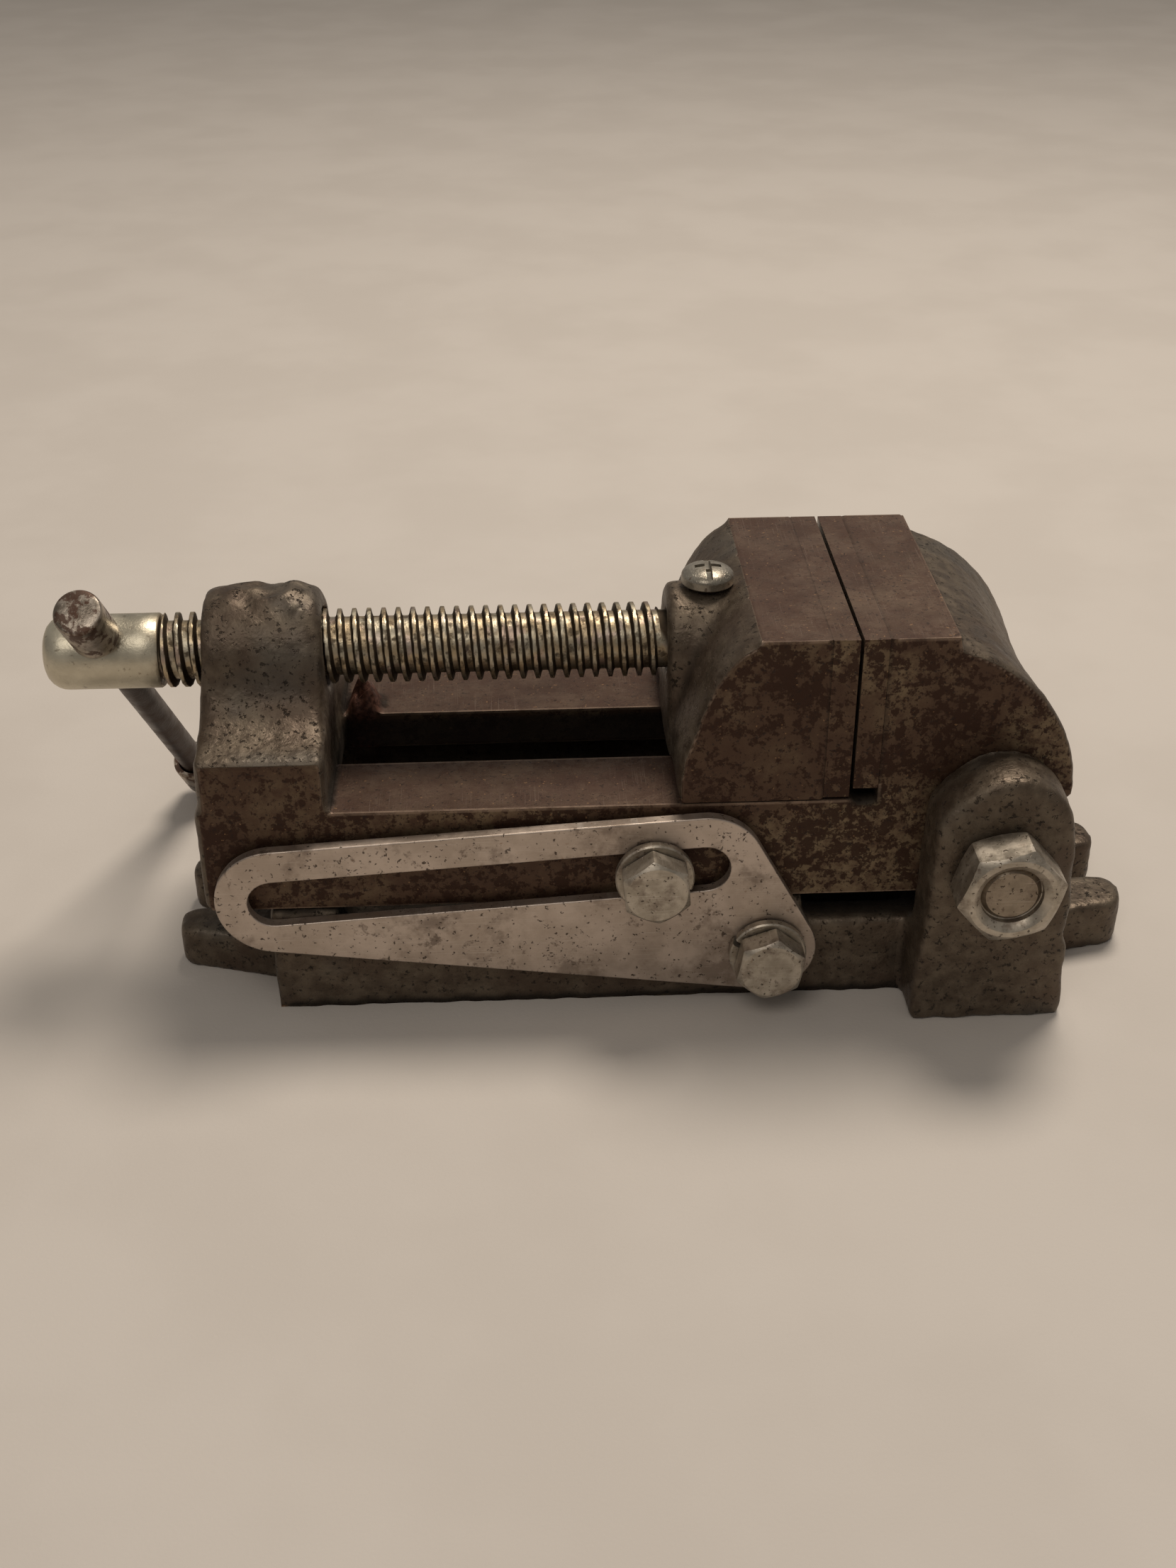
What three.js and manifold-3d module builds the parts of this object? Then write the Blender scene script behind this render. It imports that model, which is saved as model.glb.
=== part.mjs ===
// A small tilting drill press vise: a cast base, a tilting vise body locked by a slotted link, a sliding jaw and
// its leadscrew. +X runs from the handle to the pivot, +Y away from the link side, +Z up. The origin is under the
// closed jaws, on the underside of the base.
import * as THREE from 'three';
import { mergeVertices } from 'three/addons/utils/BufferGeometryUtils.js';
import Module from 'manifold-3d';

const wasm = await Module();
wasm.setup();

// ---- Driving dimensions, in millimetres and degrees ----

const GAP = 0.3; // between neighbouring pieces
const JAW_WIDTH = 60;
const HALF = JAW_WIDTH / 2;
const JAW_TOP = 83.3;
const FINE = 32; // sides of a large round
const COARSE = 20; // sides of a small round
const THREAD_STEPS = 6; // straight stretches in one turn of the thread

const base = {
  left: -118, right: 45.5, half: 30.8, wallTop: 18.7, wall: 8, floor: 7,
  padRight: -103.6, padTop: 24.7,
};
const ear = { inner: 30.3, outer: 41, left: 14.6, leftTop: 15.5, rightTop: 42, shoulder: 48.6, top: 59 };
const rightLug = { root: 45.5, end: 65.6, rootHalf: 21.2, endHalf: 18, thick: 11.5, slotEnd: 53.5, corner: 7 };
const leftLug = { root: -118, end: -140.5, rootHalf: 20.8, endHalf: 15.6, thick: 10, slotEnd: -127.5, corner: 5 };
const LUG_SLOT_HALF = 6;
const LUG_MOUTH_CORNER = 4.4; // round corner between a slot and the lug's end
const linkBoss = { left: -24, right: -8, top: 24.6, depth: 12 };

const hinge = { x: 29.1, z: 37.7, knuckle: 12.7 };
const body = { left: -130.2, bottom: 25, bedTop: 47.5, bedThick: 9, slotHalf: 10.65, cavityHalf: 21 };
const cavity = { left: -124, right: 14 };
const bedSlot = { left: -104, right: 0 };
const upright = { topLeft: -128.4, right: -104.5, topRight: -105.2, shoulder: 59.5, bossRadius: 13 };
const fixedJaw = { face: 5.6, grooveLeft: 0.3, grooveFloor: 46.9, topRight: 19.2, stepX: 19.6, stepZ: 80.6, rearX: 45.7 };

const movingJaw = { left: -34.7, front: -5.4, shoulder: 57, topLeft: -19, boss: -35.3, bossRadius: 12 };
const fixedPlate = { back: 5.3, front: 0.3, bottom: 50.1 };
const movingPlate = { back: -5.1, front: 0, bottom: 48.2 };
const plateScrew = { y: 19, z: 66, head: 3.5, headDeep: 2.6, shank: 2, length: 10 };
const keeper = { left: -32, right: -7, half: 20.5, thick: 6 };
const keeperScrew = { xs: [-27, -12], head: 4.2, headHigh: 4, shank: 2.5, length: 6 };
const retainer = { x: -26.6, head: 5.4, under: 82.2, rim: 83.7, top: 86, shank: 2.5, tip: 74.3 };

const screw = {
  z: 69.6, crest: 7.7, root: 6, pitch: 3, headLeft: -162.2, headRight: -138.4,
  threadRight: -38.5, neckRight: -14.6, groove: 4.4, grooveHalf: 2.8,
};
const bar = { x: -149.8, drop: 48, skew: 3.6, radius: 3.1, hole: 3.7, near: -21.6, far: 87.6 };
const cap = { radius: 4.9, length: 13.7, socket: 8, chamfer: 0.8 };

const link = { front: -33.7, back: -31.1, slotRadius: 5.2, holeRadius: 4.3 };
const linkEnd = { x: -116, z: 28.8, radius: 12.2 };
const linkTurn = { x: -29, z: 34.1, radius: 12.2 };
const linkPivot = { x: -15.6, z: 13.7, radius: 10.3 };
const slotBolt = { x: -39.3, z: 33.5, end: -30.5, corner: 95, split: -28 };
const m8 = { radius: 4, flats: 13, head: 5.3, hole: 4.3, washer: 8, washerThick: 2, washerHole: 4.4 };
const m12 = { radius: 6, flats: 19, nut: 9.7, head: 8, hole: 6.4 };

// ---- Geometry helpers ----

// The closed solid of a three.js geometry.
function solid(geometry) {
  geometry.deleteAttribute('normal');
  geometry.deleteAttribute('uv');
  const merged = mergeVertices(geometry, 1e-4);
  return new wasm.Manifold(new wasm.Mesh({
    numProp: 3,
    vertProperties: merged.attributes.position.array,
    triVerts: Uint32Array.from(merged.index.array),
  }));
}

// The geometry of a solid.
function geometryOf(manifold) {
  const mesh = manifold.getMesh();
  const geometry = new THREE.BufferGeometry();
  geometry.setAttribute('position', new THREE.BufferAttribute(mesh.vertProperties, 3));
  geometry.setIndex(new THREE.BufferAttribute(mesh.triVerts, 1));
  return geometry;
}

// An outline in X and Z, extruded from the nearer to the farther Y.
function sideProfile(shape, nearY, farY, curveSegments = 10) {
  const geometry = new THREE.ExtrudeGeometry(shape, { depth: farY - nearY, bevelEnabled: false, curveSegments });
  geometry.rotateX(Math.PI / 2);
  geometry.translate(0, farY, 0);
  return solid(geometry);
}

// An outline in Y and Z, extruded from the left to the right X.
function endProfile(shape, left, right, curveSegments = 10) {
  const geometry = new THREE.ExtrudeGeometry(shape, { depth: right - left, bevelEnabled: false, curveSegments });
  const turn = new THREE.Matrix4().makeBasis(
    new THREE.Vector3(0, 1, 0),
    new THREE.Vector3(0, 0, 1),
    new THREE.Vector3(1, 0, 0),
  );
  geometry.applyMatrix4(turn);
  geometry.translate(left, 0, 0);
  return solid(geometry);
}

// An outline in X and Y, extruded upwards.
function planProfile(shape, bottom, top, curveSegments = 6) {
  const geometry = new THREE.ExtrudeGeometry(shape, { depth: top - bottom, bevelEnabled: false, curveSegments });
  geometry.translate(0, 0, bottom);
  return solid(geometry);
}

// A box between two corners.
function block(x0, x1, y0, y1, z0, z1) {
  const geometry = new THREE.BoxGeometry(x1 - x0, y1 - y0, z1 - z0);
  geometry.translate((x0 + x1) / 2, (y0 + y1) / 2, (z0 + z1) / 2);
  return solid(geometry);
}

// Turns and moves a geometry so that its own +Y runs along a direction from a point.
function place(geometry, point, direction) {
  const up = new THREE.Vector3(0, 1, 0);
  geometry.applyQuaternion(new THREE.Quaternion().setFromUnitVectors(up, direction.clone().normalize()));
  geometry.translate(point.x, point.y, point.z);
  return geometry;
}

// A round rod from one point along a direction.
function rod(radius, point, direction, length, sides = COARSE) {
  const geometry = new THREE.CylinderGeometry(radius, radius, length, sides);
  geometry.translate(0, length / 2, 0);
  return solid(place(geometry, point, direction));
}

// A turned solid: profile points are [radius, distance along the direction].
function turned(profile, point, direction, sides = FINE) {
  const points = profile.map(([radius, along]) => new THREE.Vector2(radius, along));
  return solid(place(new THREE.LatheGeometry(points, sides), point, direction));
}

const alongX = new THREE.Vector3(1, 0, 0);
const alongY = new THREE.Vector3(0, 1, 0);
const alongZ = new THREE.Vector3(0, 0, 1);
const at = (x, y, z) => new THREE.Vector3(x, y, z);
const radians = THREE.MathUtils.degToRad;

// A shape through corner points.
function polygon(corners) {
  return new THREE.Shape(corners.map(([a, b]) => new THREE.Vector2(a, b)));
}

// A straight slot's outline: two round ends joined by their common tangents.
function slotShape(x0, z0, x1, z1, radius) {
  const side = Math.atan2(z1 - z0, x1 - x0) + Math.PI / 2;
  const shape = new THREE.Shape();
  shape.absarc(x1, z1, radius, side - Math.PI, side, false);
  shape.absarc(x0, z0, radius, side, side + Math.PI, false);
  shape.closePath();
  return shape;
}

// A hexagonal prism with both ends' corners turned off, along Y, its first corner at an angle from +X.
function hexagon(flats, x, z, nearY, farY, corner) {
  const reach = flats / Math.sqrt(3);
  const length = farY - nearY;
  const corners = [0, 1, 2, 3, 4, 5].map((i) => {
    const angle = radians(corner + 60 * i);
    return [x + reach * Math.cos(angle), z + reach * Math.sin(angle)];
  });
  const turnedOff = 0.06 * flats;
  const round = turned(
    [[0, 0], [0.47 * flats, 0], [reach, turnedOff], [reach, length - turnedOff], [0.47 * flats, length], [0, length]],
    at(x, nearY, z),
    alongY,
  );
  return sideProfile(polygon(corners), nearY, farY).intersect(round);
}

// ---- Base ----

// A side wall's ear that carries the hinge, between two Y planes.
function earSolid(nearY, farY) {
  const shape = new THREE.Shape();
  shape.moveTo(ear.left, 0);
  shape.lineTo(ear.left, base.wallTop);
  shape.lineTo(ear.leftTop, ear.shoulder);
  shape.bezierCurveTo(17, 52, 23.5, ear.top - 0.3, hinge.x, ear.top);
  shape.bezierCurveTo(34.5, ear.top, 41.3, 56.5, ear.rightTop, ear.shoulder);
  shape.lineTo(base.right, 0);
  shape.closePath();
  return sideProfile(shape, nearY, farY, 6);
}

// A slotted fixing lug. It tapers from its root to a rounded end.
function lugSolid(lug) {
  const out = Math.sign(lug.end - lug.root);
  const inside = lug.root - 4 * out;
  const mouth = lug.end - LUG_MOUTH_CORNER * out;
  const shape = new THREE.Shape();
  shape.moveTo(inside, -lug.rootHalf);
  shape.lineTo(lug.root, -lug.rootHalf);
  shape.lineTo(lug.end - lug.corner * out, -lug.endHalf);
  shape.quadraticCurveTo(lug.end, -lug.endHalf, lug.end, lug.corner - lug.endHalf);
  shape.lineTo(lug.end, -LUG_SLOT_HALF - LUG_MOUTH_CORNER);
  shape.quadraticCurveTo(lug.end, -LUG_SLOT_HALF, mouth, -LUG_SLOT_HALF);
  shape.lineTo(lug.slotEnd, -LUG_SLOT_HALF);
  shape.absarc(lug.slotEnd, 0, LUG_SLOT_HALF, -Math.PI / 2, Math.PI / 2, out > 0);
  shape.lineTo(mouth, LUG_SLOT_HALF);
  shape.quadraticCurveTo(lug.end, LUG_SLOT_HALF, lug.end, LUG_SLOT_HALF + LUG_MOUTH_CORNER);
  shape.lineTo(lug.end, lug.endHalf - lug.corner);
  shape.quadraticCurveTo(lug.end, lug.endHalf, lug.end - lug.corner * out, lug.endHalf);
  shape.lineTo(lug.root, lug.rootHalf);
  shape.lineTo(inside, lug.rootHalf);
  shape.closePath();
  return planProfile(shape, 0, lug.thick);
}

function baseCasting() {
  const inner = base.half - base.wall;
  const tray = block(base.left, base.right, -base.half, base.half, 0, base.wallTop);
  const well = block(base.padRight, ear.left, -inner, inner, base.floor, base.wallTop + 1);
  const pad = block(base.left, base.padRight, -base.half, base.half, 0, base.padTop);
  const foot = block(ear.left, base.right, -ear.outer, ear.outer, 0, base.wallTop);
  const boss = block(linkBoss.left, linkBoss.right, -base.half, linkBoss.depth - base.half, 0, linkBoss.top);
  const pinHole = rod(m12.hole, at(hinge.x, -60, hinge.z), alongY, 120);
  const tapped = rod(m8.hole, at(linkPivot.x, -40, linkPivot.z), alongY, 40 - base.half + linkBoss.depth - 2);
  return tray.subtract(well).add(pad).add(foot).add(boss)
    .add(earSolid(-ear.outer, -ear.inner)).add(earSolid(ear.inner, ear.outer))
    .add(lugSolid(rightLug)).add(lugSolid(leftLug))
    .subtract(pinHole).subtract(tapped);
}

// ---- Tilting body ----

// The outline from the side: bed, fixed jaw with its curved back, and the hinge knuckle.
function bodySide() {
  const shape = new THREE.Shape();
  shape.moveTo(body.left, body.bottom);
  shape.lineTo(hinge.x, body.bottom);
  shape.absarc(hinge.x, hinge.z, hinge.knuckle, -Math.PI / 2, radians(28), false);
  shape.lineTo(45, 46);
  shape.lineTo(fixedJaw.rearX, 48.2);
  shape.bezierCurveTo(45.2, 64, 33.5, 77, fixedJaw.stepX, fixedJaw.stepZ);
  shape.lineTo(fixedJaw.topRight, JAW_TOP);
  shape.lineTo(fixedJaw.face, JAW_TOP);
  shape.lineTo(fixedJaw.face, fixedJaw.grooveFloor);
  shape.lineTo(fixedJaw.grooveLeft, fixedJaw.grooveFloor);
  shape.lineTo(fixedJaw.grooveLeft, body.bedTop);
  shape.lineTo(body.left, body.bedTop);
  shape.closePath();
  return shape;
}

// The upright from its end: square below, then flaring in to a round boss about the leadscrew.
function uprightEnd() {
  const shape = new THREE.Shape();
  const r = upright.bossRadius;
  shape.moveTo(-HALF, body.bottom);
  shape.lineTo(HALF, body.bottom);
  shape.lineTo(HALF, upright.shoulder);
  shape.quadraticCurveTo(r + 1, upright.shoulder + 0.7, r, screw.z);
  shape.absarc(0, screw.z, r, 0, Math.PI, false);
  shape.quadraticCurveTo(-r - 1, upright.shoulder + 0.7, -HALF, upright.shoulder);
  shape.closePath();
  return shape;
}

// The upright from its side: both faces lean in a little towards the top.
function uprightSide() {
  const top = screw.z + upright.bossRadius;
  return polygon([
    [body.left, body.bottom], [upright.right, body.bottom], [upright.right, upright.shoulder],
    [upright.topRight, top], [upright.topLeft, top],
  ]);
}

function viseBody() {
  const railUnder = body.bedTop - body.bedThick;
  const slot = block(bedSlot.left, bedSlot.right, -body.slotHalf, body.slotHalf, body.bottom, body.bedTop + 1);
  const hollow = block(cavity.left, cavity.right, -body.cavityHalf, body.cavityHalf, body.bottom - 1, railUnder);
  const pinHole = rod(m12.hole, at(hinge.x, -HALF - 5, hinge.z), alongY, JAW_WIDTH + 10);
  const screwHole = rod(screw.crest + 0.5, at(body.left - 5, 0, screw.z), alongX, 40, FINE);
  const tapped = rod(m8.hole, at(slotBolt.x, -HALF - 5, slotBolt.z), alongY, 16);
  const post = endProfile(uprightEnd(), body.left, upright.right).intersect(sideProfile(uprightSide(), -HALF, HALF));
  let casting = sideProfile(bodySide(), -HALF, HALF).add(post)
    .subtract(slot).subtract(hollow).subtract(pinHole).subtract(screwHole).subtract(tapped);
  for (const y of [-plateScrew.y, plateScrew.y]) {
    const hole = rod(plateScrew.shank + GAP, at(fixedJaw.face - 1, y, plateScrew.z), alongX, plateScrew.length);
    casting = casting.subtract(hole);
  }
  return casting;
}

// ---- Sliding jaw ----

function movingJawSide() {
  const bottom = body.bedTop + GAP;
  const shape = new THREE.Shape();
  shape.moveTo(movingJaw.left, bottom);
  shape.lineTo(movingJaw.front, bottom);
  shape.lineTo(movingJaw.front, JAW_TOP);
  shape.lineTo(movingJaw.topLeft, JAW_TOP);
  shape.bezierCurveTo(-29.5, 79, -31, 64.5, movingJaw.left + 0.5, movingJaw.shoulder);
  shape.closePath();
  return shape;
}

// The boss around the leadscrew's neck, from its end: round on top, straight down to the bed.
function movingBossEnd() {
  const shape = new THREE.Shape();
  const r = movingJaw.bossRadius;
  shape.moveTo(-r, body.bedTop + GAP);
  shape.lineTo(r, body.bedTop + GAP);
  shape.absarc(0, screw.z, r, 0, Math.PI, false);
  shape.closePath();
  return shape;
}

function movingJawCasting() {
  const tongueBottom = body.bedTop - body.bedThick;
  const tongueHalf = body.slotHalf - GAP;
  const tongue = block(keeper.left + 1, keeper.right + 1, -tongueHalf, tongueHalf, tongueBottom, body.bedTop + 1);
  const neckHole = rod(screw.root + 0.5, at(movingJaw.boss - 5, 0, screw.z), alongX,
    screw.neckRight + GAP - movingJaw.boss + 5, FINE);
  const pinHole = rod(retainer.shank + GAP, at(retainer.x, 0, screw.z), alongZ, 30);
  let casting = sideProfile(movingJawSide(), -HALF, HALF)
    .add(endProfile(movingBossEnd(), movingJaw.boss, movingJaw.topLeft))
    .add(tongue).subtract(neckHole).subtract(pinHole);
  for (const y of [-plateScrew.y, plateScrew.y]) {
    const start = at(movingJaw.front + 1, y, plateScrew.z);
    casting = casting.subtract(rod(plateScrew.shank + GAP, start, alongX.clone().negate(), plateScrew.length));
  }
  for (const x of keeperScrew.xs) {
    const start = at(x, 0, tongueBottom - 1);
    casting = casting.subtract(rod(keeperScrew.shank + GAP, start, alongZ, keeperScrew.length + 1 + GAP));
  }
  return casting;
}

// A hardened jaw plate with two sunk screw holes. inward points from its face into the casting.
function jawPlate(plate, inward) {
  const x0 = Math.min(plate.back, plate.front);
  const x1 = Math.max(plate.back, plate.front);
  let plateSolid = block(x0, x1, -HALF, HALF, plate.bottom, JAW_TOP);
  for (const y of [-plateScrew.y, plateScrew.y]) {
    const mouth = at(plate.front - inward.x, y, plateScrew.z);
    const sink = rod(plateScrew.head + GAP, mouth, inward, 1 + plateScrew.headDeep + 2 * GAP);
    plateSolid = plateSolid.subtract(sink).subtract(rod(plateScrew.shank + GAP, mouth, inward, 10));
  }
  return plateSolid;
}

// A jaw plate's screw, its head just below the plate's face, with a hexagon socket.
function jawPlateScrew(plate, inward, y) {
  const face = at(plate.front + GAP * inward.x, y, plateScrew.z);
  const profile = [
    [0, 0], [plateScrew.head, 0], [plateScrew.head, plateScrew.headDeep],
    [plateScrew.shank, plateScrew.headDeep], [plateScrew.shank, plateScrew.length - 1], [0, plateScrew.length - 1],
  ];
  const mouth = at(face.x - inward.x, y, plateScrew.z);
  return turned(profile, face, inward, COARSE).subtract(rod(1.7, mouth, inward, 2.6, 6));
}

// The keeper plate that holds the sliding jaw down, under the rails.
function keeperPlate() {
  const top = body.bedTop - body.bedThick - GAP;
  let plate = block(keeper.left, keeper.right, -keeper.half, keeper.half, top - keeper.thick, top);
  for (const x of keeperScrew.xs) {
    plate = plate.subtract(rod(keeperScrew.shank + GAP, at(x, 0, top - keeper.thick - 1), alongZ, keeper.thick + 2));
  }
  return plate;
}

// A socket cap screw that holds the keeper plate up against the jaw's tongue.
function keeperBolt(x) {
  const under = body.bedTop - body.bedThick - GAP - keeper.thick - GAP;
  const reach = keeper.thick + 2 * GAP + keeperScrew.length - 1;
  const profile = [
    [0, 0], [keeperScrew.head, 0], [keeperScrew.head, keeperScrew.headHigh],
    [keeperScrew.shank, keeperScrew.headHigh], [keeperScrew.shank, keeperScrew.headHigh + reach],
    [0, keeperScrew.headHigh + reach],
  ];
  const foot = at(x, 0, under - keeperScrew.headHigh);
  return turned(profile, foot, alongZ, COARSE).subtract(rod(2.3, at(x, 0, foot.z - 1), alongZ, 3.4, 6));
}

// The pan head screw whose tip runs in the leadscrew's groove. Its head has a slot and a cross.
function retainerScrew() {
  const foot = at(retainer.x, 0, retainer.tip);
  const up = (z) => z - retainer.tip;
  const profile = [
    [0, 0], [retainer.shank, 0], [retainer.shank, up(retainer.under)], [retainer.head, up(retainer.under)],
    [retainer.head, up(retainer.rim)], [retainer.head * 0.86, up(retainer.top - 0.9)],
    [retainer.head * 0.5, up(retainer.top - 0.1)], [0, up(retainer.top)],
  ];
  const slot = block(retainer.x - 6, retainer.x + 6, -0.6, 0.6, retainer.top - 1.4, retainer.top + 1);
  const cross = block(retainer.x - 0.6, retainer.x + 0.6, -2.6, 2.6, retainer.top - 2, retainer.top + 1);
  return turned(profile, foot, alongZ, COARSE).subtract(slot).subtract(cross);
}

// ---- Leadscrew and handle ----

// The helix at the thread's root, with axes that point outwards and along the screw.
class ThreadPath extends THREE.Curve {
  constructor(left, turns) {
    super();
    this.left = left;
    this.turns = turns;
  }

  getPoint(t) {
    const angle = 2 * Math.PI * this.turns * t;
    const radius = screw.root - 0.4;
    return at(this.left + screw.pitch * this.turns * t, radius * Math.cos(angle), screw.z + radius * Math.sin(angle));
  }

  getPointAt(t) {
    return this.getPoint(t);
  }

  computeFrenetFrames(segments) {
    const tangents = [];
    const normals = [];
    const binormals = [];
    for (let i = 0; i <= segments; i += 1) {
      const angle = (2 * Math.PI * this.turns * i) / segments;
      tangents.push(at(0, -Math.sin(angle), Math.cos(angle)));
      normals.push(at(0, Math.cos(angle), Math.sin(angle)));
      binormals.push(at(-1, 0, 0));
    }
    return { tangents, normals, binormals };
  }
}

// The thread's ridge: a trapezoid swept along the helix, buried a little in the core.
function threadRidge(left, right) {
  const turns = (right - left) / screw.pitch;
  const tall = screw.crest - screw.root + 0.4;
  const shape = polygon([[0, -1.15], [tall, -0.5], [tall, 0.5], [0, 1.15]]);
  const steps = Math.round(turns * THREAD_STEPS);
  return solid(new THREE.ExtrudeGeometry(shape, { steps, bevelEnabled: false, extrudePath: new ThreadPath(left, turns) }));
}

const barDirection = new THREE.Vector3(0, Math.cos(radians(bar.drop)), -Math.sin(radians(bar.drop)))
  .multiplyScalar(Math.cos(radians(bar.skew)))
  .add(at(Math.sin(radians(bar.skew)), 0, 0));
const barCentre = at(bar.x, 0, screw.z);

// A point on the handle bar's axis, at a distance from the leadscrew's axis.
function barPoint(distance) {
  return barCentre.clone().addScaledVector(barDirection, distance);
}

function leadscrewSolid() {
  const start = at(screw.headLeft, 0, screw.z);
  const x = (position) => position - screw.headLeft;
  const groove = retainer.x - screw.headLeft;
  const profile = [
    [0, 0], [screw.crest - 2.6, 0], [screw.crest - 1, 0.8], [screw.crest - 0.2, 2.2], [screw.crest, 3.6],
    [screw.crest, x(screw.headRight)], [screw.root, x(screw.headRight) + 0.4],
    [screw.root, groove - screw.grooveHalf], [screw.groove, groove - screw.grooveHalf],
    [screw.groove, groove + screw.grooveHalf], [screw.root, groove + screw.grooveHalf],
    [screw.root, x(screw.neckRight)], [0, x(screw.neckRight)],
  ];
  const core = turned(profile, start, alongX, THREAD_STEPS * 2);
  const barHole = rod(bar.hole, barPoint(-15), barDirection, 30);
  return core.add(threadRidge(screw.headRight - 1.5, screw.threadRight)).subtract(barHole);
}

function handleBar() {
  const start = bar.near + cap.length - cap.socket + GAP;
  const end = bar.far - cap.length + cap.socket - GAP;
  return rod(bar.radius, barPoint(start), barDirection, end - start);
}

// A turned knob with a blind socket for the bar. Its outer end is at a distance along the bar.
function handleCap(distance, inward) {
  const r = cap.radius;
  const profile = [
    [0, 0], [r - cap.chamfer, 0], [r, cap.chamfer], [r, cap.length - cap.chamfer],
    [r - cap.chamfer, cap.length], [bar.radius + GAP, cap.length],
    [bar.radius + GAP, cap.length - cap.socket], [0, cap.length - cap.socket],
  ];
  return turned(profile, barPoint(distance), inward, 24);
}

// ---- Angle link and fasteners ----

// The outline around three round corners, each tangent line running on to the next corner.
function linkOutline() {
  const corners = [linkPivot, linkTurn, linkEnd];
  const shape = new THREE.Shape();
  corners.forEach((corner, i) => {
    const before = corners[(i + 2) % 3];
    const after = corners[(i + 1) % 3];
    shape.absarc(corner.x, corner.z, corner.radius, tangentSide(before, corner), tangentSide(corner, after), false);
  });
  shape.closePath();
  return shape;
}

// The angle, at both circles, of the outer tangent from one round corner to the next, going counter-clockwise.
function tangentSide(from, to) {
  const dx = to.x - from.x;
  const dz = to.z - from.z;
  const lean = Math.asin((from.radius - to.radius) / Math.hypot(dx, dz));
  return Math.atan2(dz, dx) - Math.PI / 2 + lean;
}

function angleLink() {
  const slot = slotShape(linkEnd.x - 0.4, linkEnd.z - 0.3, linkTurn.x, linkTurn.z, link.slotRadius);
  const hole = rod(link.holeRadius, at(linkPivot.x, -40, linkPivot.z), alongY, 20);
  return sideProfile(linkOutline(), link.front, link.back, 14)
    .subtract(sideProfile(slot, link.front - 1, link.back + 1, 8)).subtract(hole);
}

// A split spring washer on the front of the link, its split at an angle from +X.
function splitWasher(x, z, splitAngle) {
  const nearY = link.front - GAP - m8.washerThick;
  const disc = rod(m8.washer, at(x, nearY, z), alongY, m8.washerThick, 28);
  const hole = rod(m8.washerHole, at(x, nearY - 1, z), alongY, m8.washerThick + 2);
  const cut = new THREE.BoxGeometry(m8.washer + 2, m8.washerThick + 2, 1.2);
  cut.translate((m8.washer + 2) / 2, 0, 0);
  cut.rotateY(-radians(splitAngle));
  cut.translate(x, nearY + m8.washerThick / 2, z);
  return disc.subtract(hole).subtract(solid(cut));
}

// An M8 hexagon bolt through the link, its shank ending at a Y plane.
function linkBolt(x, z, end, corner) {
  const under = link.front - 2 * GAP - m8.washerThick;
  const head = hexagon(m8.flats, x, z, under - m8.head, under, corner);
  return head.add(rod(m8.radius, at(x, under - 1, z), alongY, end - under + 1));
}

function pivotNut() {
  const nearY = -ear.outer - GAP - m12.nut;
  const nut = hexagon(m12.flats, hinge.x, hinge.z, nearY, -ear.outer - GAP, 15);
  return nut.subtract(rod(m12.hole, at(hinge.x, nearY - 1, hinge.z), alongY, m12.nut + 2));
}

function pivotBolt() {
  const nearY = -ear.outer - GAP - m12.nut + 0.5;
  const under = ear.outer + GAP;
  const chamfer = 0.8;
  const shank = turned(
    [[0, 0], [m12.radius - chamfer, 0], [m12.radius, chamfer], [m12.radius, under + 1 - nearY], [0, under + 1 - nearY]],
    at(hinge.x, nearY, hinge.z),
    alongY,
    COARSE,
  );
  return shank.add(hexagon(m12.flats, hinge.x, hinge.z, under, under + m12.head, 0));
}

// ---- Materials ----

const castIron = { color: 0x5a5750, roughness: 0.78, metalness: 0.35 };
const bodyIron = { color: 0x5e4a41, roughness: 0.6, metalness: 0.5 };
const plateSteel = { color: 0x74695f, roughness: 0.45, metalness: 0.8 };
const zincPlate = { color: 0x8f8d84, roughness: 0.42, metalness: 0.9 };
const screwSteel = { color: 0x8c806a, roughness: 0.4, metalness: 0.9 };
const barSteel = { color: 0x4a3a32, roughness: 0.45, metalness: 0.8 };
const brightSteel = { color: 0xb9b8b4, roughness: 0.3, metalness: 1 };
const blackOxide = { color: 0x2c2b2a, roughness: 0.5, metalness: 0.7 };

// ---- Assembly ----

const vise = new THREE.Group();

function addPiece(name, manifold, material) {
  const mesh = new THREE.Mesh(geometryOf(manifold), new THREE.MeshStandardMaterial(material));
  mesh.name = name;
  vise.add(mesh);
}

const inwardFixed = alongX;
const inwardMoving = alongX.clone().negate();

addPiece('base_casting', baseCasting(), castIron);
addPiece('pivot_bolt', pivotBolt(), zincPlate);
addPiece('pivot_nut', pivotNut(), zincPlate);
addPiece('link_pivot_bolt', linkBolt(linkPivot.x, linkPivot.z, linkBoss.depth - base.half - 3, 80), zincPlate);
addPiece('link_pivot_washer', splitWasher(linkPivot.x, linkPivot.z, 150), zincPlate);

addPiece('vise_body', viseBody(), bodyIron);
addPiece('fixed_jaw_plate', jawPlate(fixedPlate, inwardFixed), plateSteel);
addPiece('moving_jaw', movingJawCasting(), bodyIron);
addPiece('moving_jaw_plate', jawPlate(movingPlate, inwardMoving), plateSteel);
for (const [side, y] of [['near', -plateScrew.y], ['far', plateScrew.y]]) {
  addPiece(`fixed_plate_screw_${side}`, jawPlateScrew(fixedPlate, inwardFixed, y), blackOxide);
  addPiece(`moving_plate_screw_${side}`, jawPlateScrew(movingPlate, inwardMoving, y), blackOxide);
}
addPiece('keeper_plate', keeperPlate(), plateSteel);
keeperScrew.xs.forEach((x, i) => addPiece(`keeper_screw_${i + 1}`, keeperBolt(x), blackOxide));
addPiece('screw_retainer', retainerScrew(), brightSteel);

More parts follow.
